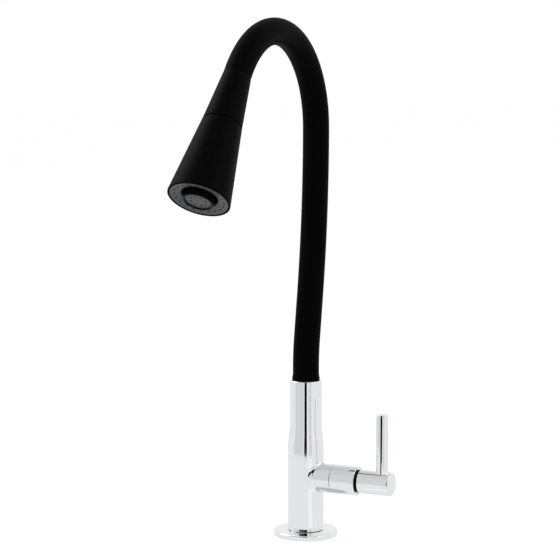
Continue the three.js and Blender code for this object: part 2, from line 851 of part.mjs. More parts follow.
// Everything that turns with the spray cone: the shell, and the waterway on the hose tail's spigot.
// The waterway has a port for the stream in the middle and, a quarter turn on, one for the spray
function coneParts(group) {
  const shellStart = seamPlace + seamGap / 2;
  const topWallEnd = shellStart + shellWall;
  const plateRoom = plateRadius + gap;
  const shelf = plateStart - gap;
  const cone = revolve([
    [coneAt(shellStart), shellStart],
    ...roundedCorner(coneAt(headLength), headLength, lipRadius, 2),
    [plateRoom, headLength],
    [plateRoom, shelf],
    [coneAt(shelf) - shellWall, shelf],
    [coneAt(topWallEnd) - shellWall, topWallEnd],
    [sprayTubeRadius + gap, topWallEnd],
    [sprayTubeRadius + gap, shellStart],
  ], columnSides);
  addPiece(group, "spray_cone", silicone, cone);

  const socketRadius = spigotRadius + gap;
  const snapGroove = snapRingThickness / 2 + gap;
  const rimAt = (place) => coneAt(place) - shellWall - gap;
  const outer = solid(revolve([
    [sprayTubeRadius, socketStart],
    [sprayTubeRadius, roseStart],
    [rimAt(roseStart), roseStart],
    [rimAt(shelf), shelf],
    [rimAt(shelf) - roseWall, shelf],
    [rimAt(roseFloor) - roseWall, roseFloor],
    [sprayTubeBore, roseFloor],
    [sprayTubeBore, webEnd],
    [socketRadius, webEnd],
    [socketRadius, snapRingPlace + snapGroove],
    [socketRadius + snapRingDepth, snapRingPlace + snapGroove],
    [socketRadius + snapRingDepth, snapRingPlace - snapGroove],
    [socketRadius, snapRingPlace - snapGroove],
    [socketRadius, socketStart],
  ]));
  const web = solid(disc(socketRadius + gap, webStart, webEnd, smallSides));
  const streamTubeEnd = housingFloorEnd - gap;
  const streamTube = solid(ring(streamTubeBore, streamTubeRadius, webEnd - gap, streamTubeEnd, smallSides));
  const streamPort = disc(selectorPortRadius, webStart - overrun, webEnd + overrun, screwSides);
  streamPort.translate(streamPortOffset, 0, 0);
  const sprayPort = disc(selectorPortRadius, webStart - overrun, webEnd + overrun, screwSides);
  sprayPort.translate(sprayPortOffset, 0, 0).rotateZ(-sprayTurnPortAngle);
  const waterway = cut(outer.add(web).add(streamTube), streamPort, sprayPort);
  addPiece(group, "spray_waterway", whitePlastic, waterway);
}

// Evenly spaced tools for round holes along Z, on a circle
function holeCircle(count, radius, circle, from, to, sides) {
  return Array.from({ length: count }, (_, i) => {
    const hole = disc(radius, from - overrun, to + overrun, sides);
    return hole.translate(circle, 0, 0).rotateZ((i / count) * 2 * Math.PI);
  });
}

// Dished nozzle plate round the mouth, and the aerator in the middle of it. The aerator's housing is a cup
// whose wall closes the spray chamber from inside; its cap clamps the jet disc on the housing's inner wall
function faceParts(group) {
  const plate = solid(revolve([
    [plateRadius, plateStart],
    [plateRadius, mouthFace],
    [plateRadius - plateLip, mouthFace],
    [plateOpening, mouthFace - plateDish],
    [plateOpening, plateStart],
  ], columnSides));
  const nozzles = holeCircle(nozzleCount, nozzleRadius, nozzleCircle, plateStart, mouthFace, 6);
  addPiece(group, "nozzle_plate", greyPlastic, cut(plate, ...nozzles));

  const cupRadius = plateOpening + housingCupOverlap;
  const housing = revolve([
    [cupRadius, housingStart],
    [cupRadius, plateStart - gap],
    [cupRadius - aeratorWall, plateStart - gap],
    [cupRadius - aeratorWall, housingFloorEnd],
    [capThreadRadius, housingFloorEnd],
    [capThreadRadius, jetDiscStart - gap],
    [capThreadRadius - aeratorWall, jetDiscStart - gap],
    [capThreadRadius - aeratorWall, housingFloorEnd],
    [streamTubeRadius + gap, housingFloorEnd],
    [streamTubeRadius + gap, housingStart],
  ]);
  addPiece(group, "aerator_housing", blackPlastic, housing);

  const insideRadius = capThreadRadius - aeratorWall - gap;
  const washerStart = housingFloorEnd + gap;
  const washerEnd = washerStart + aeratorWasherThickness;
  const washer = ring(insideRadius - aeratorWasherWidth, insideRadius, washerStart, washerEnd, smallSides);
  addPiece(group, "aerator_washer", rubber, washer);
  const screenStart = washerEnd + gap;
  const screenEnd = screenStart + aeratorScreenThickness;
  const screen = ring(aeratorScreenOpening, insideRadius, screenStart, screenEnd, smallSides);
  addPiece(group, "aerator_screen", steel, screen);

  const jetDisc = solid(disc(capThreadRadius, jetDiscStart, jetDiscEnd));
  const jets = holeCircle(jetCount, jetRadius, jetCircle, jetDiscStart, jetDiscEnd, 6);
  addPiece(group, "jet_disc", greyPlastic, cut(jetDisc, ...jets));
  const capStart = capEnd - capLength;
  const cap = revolve([
    [capRadius, capStart],
    ...roundedCorner(capRadius, capEnd, edge, 2),
    [capRadius - capLipWidth, capEnd],
    [capRadius - capLipWidth, capLipStart],
    [capRadius - capWall, capLipStart],
    [capRadius - capWall, capStart],
  ]);
  addPiece(group, "aerator_cap", blackPlastic, cap);
}

function sprayParts() {
  const group = headGroup();
  coneParts(group);
  faceParts(group);
  return group;
}

const faucet = new THREE.Group();
faucet.add(
  deckParts(),
  bodyCasting(),
  valveParts(),
  leverParts(),
  swivelParts(),
  hoseParts(),
  headParts(),
  sprayParts(),
);

export default faucet;
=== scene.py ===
"""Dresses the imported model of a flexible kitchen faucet: fine surfaces, finishes, studio and camera.

Sizes are in millimetres in the faucet's classes and become metres where a mesh is made. The studio's are in
metres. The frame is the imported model's: +Z up the column, the spout towards -Y, the lever's barrel towards
+X, the worktop at Z = 0.
"""

import logging
import math
from dataclasses import dataclass
from enum import Enum
from typing import Any, Iterable, Optional, Sequence, Union

import bmesh
import bpy
from mathutils import Matrix, Vector


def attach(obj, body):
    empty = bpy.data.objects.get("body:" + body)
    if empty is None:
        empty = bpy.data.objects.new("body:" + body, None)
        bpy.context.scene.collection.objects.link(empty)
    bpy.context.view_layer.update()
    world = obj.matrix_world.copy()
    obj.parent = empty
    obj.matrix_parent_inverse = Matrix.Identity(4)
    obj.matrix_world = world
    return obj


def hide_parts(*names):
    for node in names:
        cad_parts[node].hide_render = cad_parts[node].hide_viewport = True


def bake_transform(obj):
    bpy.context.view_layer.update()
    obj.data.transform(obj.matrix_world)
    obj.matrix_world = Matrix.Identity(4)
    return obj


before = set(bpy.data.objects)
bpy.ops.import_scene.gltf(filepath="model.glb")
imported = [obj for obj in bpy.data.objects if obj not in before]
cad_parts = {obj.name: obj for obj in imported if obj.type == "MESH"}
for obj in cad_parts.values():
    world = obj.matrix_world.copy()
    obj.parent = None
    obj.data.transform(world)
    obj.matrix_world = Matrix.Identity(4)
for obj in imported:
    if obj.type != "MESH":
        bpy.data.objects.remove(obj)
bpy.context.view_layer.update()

LOG = logging.getLogger("faucet")
MM = 0.001
UPRIGHT = Matrix.Identity(4)
WHITE = (1.0, 1.0, 1.0, 1.0)
FLAG_BLACK = "0A0A0B"
SHARP_ANGLE = math.radians(32)
ARC_STEP_DEGREES = 12
WELD_DISTANCE = 1e-7
COLUMN_FACETS = 160
SHELL_FACETS = 128
RING_FACETS = 96
BmVerts = list[bmesh.types.BMVert]
BmEdges = list[bmesh.types.BMEdge]


def linear_colour(hex_code: str) -> tuple[float, float, float, float]:
    """Turns an sRGB hex colour into the linear colour that a shader socket takes.

    Args:
        hex_code: Six hex digits, such as "E4E6E8".

    Returns:
        Linear red, green, blue and an alpha of 1.
    """
    channels = [int(hex_code[i : i + 2], 16) / 255 for i in (0, 2, 4)]
    red, green, blue = (c / 12.92 if c <= 0.04045 else ((c + 0.055) / 1.055) ** 2.4 for c in channels)
    return red, green, blue, 1.0


def add_node(
    tree: bpy.types.NodeTree,
    kind: str,
    settings: Optional[dict[Union[str, int], Any]] = None,
    links: Optional[dict[Union[str, int], bpy.types.NodeSocket]] = None,
) -> bpy.types.Node:
    """Adds one shader node with its settings and links.

    Args:
        tree: Node tree that gets the node.
        kind: Blender's identifier of the node type.
        settings: Values by input name, input number or property name.
        links: Source sockets by input name or number.

    Returns:
        The new node.
    """
    node = tree.nodes.new(kind)
    for key, value in (settings or {}).items():
        if isinstance(key, int) or key in node.inputs:
            node.inputs[key].default_value = value
        else:
            setattr(node, key, value)
    for key, source in (links or {}).items():
        tree.links.new(source, node.inputs[key])
    return node


def bare_material(name: str) -> bpy.types.Material:
    """Makes a material with an empty node tree.

    Args:
        name: Name of the material.

    Returns:
        The material.
    """
    material = bpy.data.materials.new(name)
    material.use_nodes = True
    material.node_tree.nodes.clear()
    return material


def link_object(name: str, data: bpy.types.ID) -> bpy.types.Object:
    """Makes an object of a mesh, lamp or camera in the scene.

    Args:
        name: Name of the object.
        data: What it shows.

    Returns:
        The object.
    """
    linked = bpy.data.objects.new(name, data)
    bpy.context.scene.collection.objects.link(linked)
    return linked


class Slot(Enum):
    """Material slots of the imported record."""

    CHROME = "chrome"
    BRASS = "brass"
    STEEL = "steel"
    SILICONE = "silicone"
    BLACK_PLASTIC = "black_plastic"
    RUBBER = "rubber"
    GREY_PLASTIC = "grey_plastic"
    WHITE_PLASTIC = "white_plastic"
    CERAMIC = "ceramic"
    WATER_TUBE = "water_tube"


@dataclass(frozen=True)
class Finish:
    """A real finish: base colour with a fine variation, roughness with smudges or grain, and a bump.

    Attributes:
        name: What the real material is and how its surface was made.
        slot: Slot of the record that it belongs to; not used.
        colour: Base colour as sRGB hex.
        second: Colour that the variation leads to.
        metallic: 1 for a metal.
        roughness: Roughness where the surface is clean.
        roughness_spread: How much the grain or the smudges add to it.
        grain: Size of the grain or smudge in millimetres.
        stretch: Stretch of the grain along X, Y and Z, for turned or drawn lines.
        relief: Height of the bump in millimetres.
        specular: Specular level, 0.5 for the plain index of refraction.
    """

    name: str
    slot: Slot
    colour: str
    second: str
    metallic: float
    roughness: float
    roughness_spread: float
    grain: float
    stretch: tuple[float, float, float] = (1.0, 1.0, 1.0)
    relief: float = 0.0
    specular: float = 0.5

    def build(self) -> bpy.types.Material:
        """Makes the finish's material.

        Returns:
            The node-based material.
        """
        material = bare_material(self.name)
        tree = material.node_tree
        place = add_node(tree, "ShaderNodeTexCoord")
        scale = tuple(1 / (self.grain * MM * part) for part in self.stretch)
        mapping = add_node(tree, "ShaderNodeMapping", {"Scale": scale}, {"Vector": place.outputs["Object"]})
        noise = {"Scale": 1.0, "Detail": 3.0, "Roughness": 0.55}
        grain = add_node(tree, "ShaderNodeTexNoise", noise, {"Vector": mapping.outputs[0]}).outputs["Fac"]
        colours = {"data_type": "RGBA", 6: linear_colour(self.colour), 7: linear_colour(self.second)}
        tint = add_node(tree, "ShaderNodeMix", colours, {0: grain})
        spread = {
            "From Min": 0.3,
            "From Max": 0.7,
            "To Min": self.roughness,
            "To Max": self.roughness + self.roughness_spread,
        }
        polish = add_node(tree, "ShaderNodeMapRange", spread, {"Value": grain})
        links = {"Base Color": tint.outputs[2], "Roughness": polish.outputs[0]}
        if self.relief > 0:
            height = {"Strength": 1.0, "Distance": self.relief * MM}
            links["Normal"] = add_node(tree, "ShaderNodeBump", height, {"Height": grain}).outputs[0]
        gloss = {"Metallic": self.metallic, "Specular IOR Level": self.specular}
        shader = add_node(tree, "ShaderNodeBsdfPrincipled", gloss, links)
        add_node(tree, "ShaderNodeOutputMaterial", None, {"Surface": shader.outputs[0]})
        return material


# Bright chrome plating over polished brass: a clean mirror, with the faintest wiped haze.
POLISHED_CHROME = Finish(
    "polished_chrome_plating", Slot.CHROME, "F4F5F6", "F0F2F3", 1.0, 0.03, 0.035, 14.0
)
# Moulded silicone skin: deep black and nearly matt, with a soft dusty grain.
SILICONE_SKIN = Finish(
    "moulded_silicone_skin", Slot.SILICONE, "030303", "060606", 0.0, 0.48, 0.12, 0.5,
    relief=0.004, specular=0.018,
)
# Satin soft-touch ABS of the spray head: black, a little smoother than the hose.
SOFT_TOUCH_ABS = Finish(
    "soft_touch_abs", Slot.SILICONE, "040404", "080808", 0.0, 0.42, 0.1, 0.4,
    relief=0.003, specular=0.02,
)
# Black acetal of the glide ring and of the aerator's housing and cap: a moulded low gloss.
BLACK_ACETAL = Finish(
    "moulded_black_acetal", Slot.BLACK_PLASTIC, "050506", "09090A", 0.0, 0.3, 0.08, 0.6,
    relief=0.001, specular=0.08,
)
# Grey ABS of the spray face: a fine spark-eroded satin that takes the light evenly.
GREY_ABS = Finish(
    "spark_eroded_grey_abs", Slot.GREY_PLASTIC, "4C4D4F", "585A5B", 0.0, 0.36, 0.12, 0.35,
    relief=0.004, specular=0.25,
)
# Grey silicone nozzle nubs, darker than the plate that they sit in.
NOZZLE_RUBBER = Finish("nozzle_rubber", Slot.RUBBER, "2B2C2E", "343537", 0.0, 0.55, 0.1, 0.4, specular=0.3)
# Machined brass: warm, with fine turning lines round the axis.
TURNED_BRASS = Finish(
    "turned_brass", Slot.BRASS, "C8A152", "B88E42", 1.0, 0.22, 0.14, 0.25, (60.0, 60.0, 1.0), 0.002
)
# Stainless steel wire and stampings: neutral grey with a drawn grain.
DRAWN_STEEL = Finish(
    "drawn_stainless_steel", Slot.STEEL, "B4B5B7", "A2A3A6", 1.0, 0.28, 0.16, 0.3, (1.0, 1.0, 20.0), 0.002
)
# Black nitrile rubber: dull, slightly mottled.
NITRILE_RUBBER = Finish(
    "nitrile_rubber", Slot.RUBBER, "1A1A1A", "222222", 0.0, 0.7, 0.12, 0.8, relief=0.01, specular=0.3
)
# White acetal of the waterway and washers: faintly glossy and even.
WHITE_ACETAL = Finish("white_acetal", Slot.WHITE_PLASTIC, "ECECE8", "E4E4E0", 0.0, 0.35, 0.1, 1.2)
# Lapped alumina discs: off-white with a glassy polish.
LAPPED_ALUMINA = Finish(
    "lapped_alumina", Slot.CERAMIC, "F1EDE3", "EAE5DA", 0.0, 0.15, 0.06, 2.0, specular=0.6
)
# Cross-linked polyethylene water tube: milky and waxy.
WATER_TUBE_PEX = Finish(
    "cross_linked_polyethylene", Slot.WATER_TUBE, "D9DDDF", "CDD2D5", 0.0, 0.4, 0.1, 2.5
)


class FinishShelf:
    """Builds each finish once, dresses pieces with it and fits new pieces in the place of CAD nodes."""

    def __init__(self) -> None:
        """Starts with no material built."""
        self.materials: dict[Finish, bpy.types.Material] = {}

    def dress(self, piece: bpy.types.Object, finish: Finish) -> None:
        """Gives a piece its finish.

        Args:
            piece: New piece or CAD node.
            finish: Finish to give.
        """
        if finish not in self.materials:
            self.materials[finish] = finish.build()
        piece.data.materials.clear()
        piece.data.materials.append(self.materials[finish])

    def fit(
        self, piece: bpy.types.Object, finish: Finish, body: str, node: Optional[str] = None
    ) -> bpy.types.Object:
        """Dresses a new piece that rides on one body, and makes a chromed one's flats reflect as flats.

        Args:
            piece: New piece.
            finish: Finish to give.
            body: Body that it rides on.
            node: CAD node that it replaces, if any.

        Returns:
            The piece.
        """
        if finish is POLISHED_CHROME:
            weighting = piece.modifiers.new("face_weighted_normals", "WEIGHTED_NORMAL")
            weighting.keep_sharp = True
            weighting.weight = 60
        self.dress(piece, finish)
        if node:
            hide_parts(node)
        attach(piece, body)
        return piece


@dataclass(frozen=True)
class Corner:
    """Corner of a turned profile, in millimetres, with the radius that rounds it."""

    radius: float
    height: float
    rounding: float = 0.0

    def point(self) -> Vector:
        """Gives the corner in the X-Z plane, in metres."""
        return Vector((self.radius, 0.0, self.height)) * MM


def rounded_profile(corners: Sequence[Corner], closed: bool) -> list[Vector]:
    """Rounds the corners of a profile.

    Args:
        corners: Corners from start to end.
        closed: Whether the last corner leads back to the first.

    Returns:
        Points in the X-Z plane, in metres.
    """
    points: list[Vector] = []
    count = len(corners)
    for number, corner in enumerate(corners):
        here = corner.point()
        ends = not closed and number in (0, count - 1)
        if corner.rounding <= 0 or ends:
            points.append(here)
            continue
        to_before = (corners[number - 1].point() - here).normalized()
        to_after = (corners[(number + 1) % count].point() - here).normalized()
        opening = to_before.angle(to_after)
        reach = corner.rounding * MM / math.tan(opening / 2)
        centre = here + (to_before + to_after).normalized() * (corner.rounding * MM / math.sin(opening / 2))
        first = here + to_before * reach - centre
        last = here + to_after * reach - centre
        steps = max(2, math.ceil(math.degrees(math.pi - opening) / ARC_STEP_DEGREES))
        for step in range(steps + 1):
            points.append(centre + first.slerp(last, step / steps) * corner.rounding * MM)
    return points


def make_object(name: str, maker: bmesh.types.BMesh, place: Matrix = UPRIGHT) -> bpy.types.Object:
    """Turns a finished bmesh into a smooth object whose place is in its mesh.

    Args:
        name: Name of the piece.
        maker: Bmesh in its own frame; it is freed.
        place: Matrix from that frame to the object's frame.

    Returns:
        The new object, linked to the scene.
    """
    bmesh.ops.remove_doubles(maker, verts=maker.verts, dist=WELD_DISTANCE)
    bmesh.ops.recalc_face_normals(maker, faces=maker.faces)
    bmesh.ops.transform(maker, matrix=place, verts=maker.verts)
    mesh = bpy.data.meshes.new(name)
    maker.to_mesh(mesh)
    maker.free()
    mesh.shade_smooth()
    mesh.set_sharp_from_angle(angle=SHARP_ANGLE)
    return link_object(name, mesh)


def turned(
    name: str,
    corners: Sequence[Corner],
    place: Matrix = UPRIGHT,
    closed: bool = True,
    facets: int = RING_FACETS,
) -> bpy.types.Object:
    """Turns a profile round Z.

    Args:
        name: Name of the piece.
        corners: Its profile.
        place: Matrix to the object's frame.
        closed: Whether the profile closes on itself.
        facets: Facets round the axis.

    Returns:
        The new piece.
    """
    maker = bmesh.new()
    profile = [maker.verts.new(point) for point in rounded_profile(corners, closed)]
    edges = [maker.edges.new(pair) for pair in zip(profile, profile[1:])]
    if closed:
        edges.append(maker.edges.new((profile[-1], profile[0])))
    bmesh.ops.spin(
        maker,
        geom=profile + edges,
        cent=(0, 0, 0),
        axis=(0, 0, 1),
        angle=2 * math.pi,
        steps=facets,
        use_merge=True,
        use_duplicate=False,
    )
    return make_object(name, maker, place)


def ring_corners(inner: float, outer: float, low: float, high: float, rounding: float) -> list[Corner]:
    """Gives the closed profile of a ring with four corners rounded alike."""
    sides = ((outer, low), (outer, high), (inner, high), (inner, low))
    return [Corner(radius, height, rounding) for radius, height in sides]


def rod_corners(
    radius: float, low: float, high: float, low_rounding: float = 0.0, high_rounding: float = 0.0
) -> list[Corner]:
    """Gives the open profile of a rod, which starts and ends on the axis."""
    sides = [Corner(radius, low, low_rounding), Corner(radius, high, high_rounding)]
    return [Corner(0.0, low), *sides, Corner(0.0, high)]


def spread_round(count: int) -> list[float]:
    """Gives evenly spaced angles of a full turn, in radians."""
    return [2 * math.pi * number / count for number in range(count)]


def at_mm(x: float, y: float, z: float) -> Matrix:
    """Gives the matrix that moves by so many millimetres."""
    return Matrix.Translation(Vector((x, y, z)) * MM)


def grow_loop(maker: bmesh.types.BMesh, loop: BmVerts, edges: BmEdges) -> tuple[BmVerts, BmEdges]:
    """Extrudes a loop of edges in place.

    Args:
        maker: Bmesh that holds it.
        loop: Its corners in order.
        edges: Its edges.

    Returns:
        The new loop's corners, in the same order, and its edges.
    """
    grown = bmesh.ops.extrude_edge_only(maker, edges=edges)["geom"]
    new_edges = [item for item in grown if isinstance(item, bmesh.types.BMEdge)]
    new_verts = {item for item in grown if isinstance(item, bmesh.types.BMVert)}
    partner = {}
    for vert in loop:
        for edge in vert.link_edges:
            other = edge.other_vert(vert)
            if other in new_verts:
                partner[vert] = other
    ring = [edge for edge in new_edges if all(vert in new_verts for vert in edge.verts)]
    return [partner[vert] for vert in loop], ring


def grow_rings(
    maker: bmesh.types.BMesh, circle: BmVerts, rings: Sequence[Sequence[Vector]]
) -> tuple[BmEdges, BmEdges]:
    """Moves a circle to the first of some rings and grows the others from it, one by one.

    Args:
        maker: Bmesh that holds only the circle.
        circle: Its corners in order.
        rings: Points of each ring in the same order, in metres.

    Returns:
        Edges of the first ring and of the last.
    """
    loop, edges = circle, list(maker.edges)
    first = edges
    for number, ring in enumerate(rings):
        if number > 0:
            loop, edges = grow_loop(maker, loop, edges)
        for vert, point in zip(loop, ring):
            vert.co = point
    return first, edges


def join_pieces(name: str, pieces: Sequence[bpy.types.Object]) -> bpy.types.Object:
    """Joins separate shells into one piece.

    Args:
        name: Name of the joined piece.
        pieces: Pieces to join; they are removed.

    Returns:
        The joined piece.
    """
    maker = bmesh.new()
    for piece in pieces:
        maker.from_mesh(piece.data)
        bpy.data.objects.remove(piece)
    mesh = bpy.data.meshes.new(name)
    maker.to_mesh(mesh)
    maker.free()
    return link_object(name, mesh)


@dataclass(frozen=True)
class HoseRoute:
    """Centreline of the hose in the plane X = 0, from the column's top to the mouth of the head.

    Attributes:
        start_height: Height of the column's top.
        stretches: Length and turn in degrees of each stretch, of which the last is the head.
    """

    start_height: float = 141.0
    stretches: tuple[tuple[float, float], ...] = (
        (12.0, 0.0),
        (150.0 * math.radians(9.5), 9.5),
        (38.0, 0.0),
        (900.0 * math.radians(9.5), -9.5),
        (87.0 * math.radians(144.0), -144.0),
        (118.0, 0.0),
    )

    @property
    def length(self) -> float:
        """Length of the hose without the head."""
        return sum(length for length, _ in self.stretches[:-1])

    def place(self, distance: float) -> Matrix:
        """Gives the frame at a distance along the hose.

        Args:
            distance: Millimetres from the column's top.

        Returns:
            Matrix whose Z axis runs along the hose and whose X axis is the frame's.
        """
        y, z, heading, left = 0.0, self.start_height, 0.0, distance
        for length, turn_degrees in self.stretches:
            run = min(left, length)
            turn = math.radians(turn_degrees) * run / length
            chord = run if turn == 0 else run * math.sin(turn / 2) / (turn / 2)
            y += chord * math.sin(heading + turn / 2)
            z += chord * math.cos(heading + turn / 2)
            heading += turn
            left -= run
        return at_mm(0, y, z) @ Matrix.Rotation(-heading, 4, "X")


ROUTE = HoseRoute()
HEAD = ROUTE.place(ROUTE.length)
BARREL_HEIGHT = 53.5
BARREL = at_mm(0, 0, BARREL_HEIGHT) @ Matrix.Rotation(math.radians(90), 4, "Y")
# Distance and radius of each ring of the skin's flared foot, before its even rings.
SKIN_FOOT = (
    (0.3, 12.0), (0.45, 12.2), (0.7, 12.3), (2.2, 12.25), (3.2, 12.05), (4.2, 11.85), (5.4, 11.72)
)


@dataclass
class DeckSeat:
    """Flange on the worktop and what clamps it from below. A pair of heights is a lower and an upper face."""

    flange_radius: float = 28.5
    flange_heights: tuple[float, float] = (0.3, 5.0)
    flange_edge: float = 1.3
    recess_radius: float = 25.5
    recess_top: float = 2.3
    gasket_radius: float = 25.2
    gasket_heights: tuple[float, float] = (0.0, 2.0)
    washer_radius: float = 20.0
    rubber_heights: tuple[float, float] = (-22.5, -20.0)
    steel_heights: tuple[float, float] = (-24.3, -22.8)
    shank_radius: float = 10.45
    shank_bore: float = 6.0
    shank_clearance: float = 0.3
    shank_heights: tuple[float, float] = (-55.0, 18.0)
    seal_groove: tuple[float, float] = (14.6, 17.0)
    seal_groove_depth: float = 2.1
    thread_start: float = -54.2
    thread_end: float = -2.0
    thread_pitch: float = 1.814
    thread_depth: float = 1.0
    thread_turns: int = 28
    thread_facets: int = 40
    shank_facets: int = 64
    nut_across_flats: float = 27.0
    nut_foot: float = -32.6
    nut_height: float = 8.0
    nut_chamfer: float = 0.6
    nut_bore_facets: int = 48

    def build(self, shelf: FinishShelf) -> list[bpy.types.Object]:
        """Builds and dresses the deck pieces.

        Args:
            shelf: Finishes.

        Returns:
            The new pieces.
        """
        bore = self.shank_radius + self.shank_clearance
        foot, top = self.flange_heights
        flange = [
            Corner(self.recess_radius, foot, 0.1),
            Corner(self.flange_radius, foot, 0.3),
            Corner(self.flange_radius, top, self.flange_edge),
            Corner(bore, top, 0.2),
            Corner(bore, self.recess_top, 0.1),
            Corner(self.recess_radius, self.recess_top, 0.1),
        ]
        gasket = ring_corners(bore, self.gasket_radius, *self.gasket_heights, 0.3)
        rubber = ring_corners(bore, self.washer_radius, *self.rubber_heights, 0.4)
        steel = ring_corners(bore, self.washer_radius, *self.steel_heights, 0.2)
        plans = (
            (turned("deck_flange_turned", flange, facets=COLUMN_FACETS), POLISHED_CHROME, "deck_flange"),
            (turned("deck_gasket_moulded", gasket), NITRILE_RUBBER, "deck_gasket"),
            (turned("deck_washer_moulded", rubber), NITRILE_RUBBER, "deck_rubber_washer"),
            (turned("deck_washer_stamped", steel), DRAWN_STEEL, "deck_steel_washer"),
            (self.threaded_shank(), TURNED_BRASS, "threaded_shank"),
            (self.lock_nut(bore), TURNED_BRASS, "lock_nut"),
        )
        return [shelf.fit(piece, finish, "column", node) for piece, finish, node in plans]

    def threaded_shank(self) -> bpy.types.Object:
        """Builds the shank: a tube with a screw thread that runs from its lower end to the deck.

        Returns:
            The shank.
        """
        crest, root = self.shank_radius, self.shank_radius - self.thread_depth
        foot, top = self.shank_heights
        groove_low, groove_high = self.seal_groove
        corners = [
            Corner(root, foot, 0.3),
            Corner(root, self.thread_end),
            Corner(crest, self.thread_end + self.thread_depth, 0.1),
            Corner(crest, groove_low),
            Corner(crest - self.seal_groove_depth, groove_low),
            Corner(crest - self.seal_groove_depth, groove_high),
            Corner(crest, groove_high),
            Corner(crest, top, 0.3),
            Corner(self.shank_bore, top, 0.3),
            Corner(self.shank_bore, foot, 0.3),
        ]
        tube = turned("shank_tube", corners, facets=self.shank_facets)
        # The ridge's corners: radius, and height as a share of half the pitch. It is sunk into the tube.
        sunk = root - 0.3
        shape = ((sunk, -0.9), (root, -0.8), (crest, -0.12), (crest, 0.12), (root, 0.8), (sunk, 0.9))
        half = self.thread_pitch / 2
        maker = bmesh.new()
        ridge = [
            maker.verts.new(Vector((radius, 0.0, self.thread_start + share * half)) * MM)
            for radius, share in shape
        ]
        bmesh.ops.spin(
            maker,
            geom=[maker.faces.new(ridge)],
            cent=(0, 0, 0),
            axis=(0, 0, 1),
            dvec=(0, 0, self.thread_pitch * MM / self.thread_facets),
            angle=2 * math.pi * self.thread_turns,
            steps=self.thread_facets * self.thread_turns,
            use_merge=False,
            use_duplicate=False,
        )
        return join_pieces("threaded_shank_cut", [tube, make_object("shank_thread", maker)])

    def lock_nut(self, bore: float) -> bpy.types.Object:
        """Builds the hexagon nut with chamfered corners.

        Args:
            bore: Radius of its hole.

        Returns:
            The nut.
        """
        maker = bmesh.new()
        create_circle = bmesh.ops.create_circle
        flat, half_side = self.nut_across_flats / 2, math.radians(30)
        corner = flat / math.cos(half_side) * MM
        outline = create_circle(maker, cap_ends=False, segments=6, radius=corner)["verts"]
        bmesh.ops.rotate(maker, verts=outline, cent=(0, 0, 0), matrix=Matrix.Rotation(half_side, 3, "Z"))
        around = self.nut_bore_facets
        inner = create_circle(maker, cap_ends=False, segments=around, radius=bore * MM)["verts"]
        bmesh.ops.translate(maker, verts=outline + inner, vec=(0, 0, self.nut_foot * MM))
        floor = bmesh.ops.bridge_loops(maker, edges=maker.edges[:])["faces"]
        grown = bmesh.ops.extrude_face_region(maker, geom=floor)["geom"]
        raised = [item for item in grown if isinstance(item, bmesh.types.BMVert)]
        bmesh.ops.translate(maker, verts=raised, vec=(0, 0, self.nut_height * MM))
        # Only the hexagon's corners lie that far out, and not the hole's rim.
        outside = (flat - 0.5) * MM
        rim = [edge for edge in maker.edges if all(vert.co.xy.length > outside for vert in edge.verts)]
        bmesh.ops.bevel(
            maker,
            geom=rim,
            offset=self.nut_chamfer * MM,
            offset_type="OFFSET",
            affect="EDGES",
            segments=3,
            profile=0.5,
            material=-1,
        )
        return make_object("lock_nut_milled", maker)


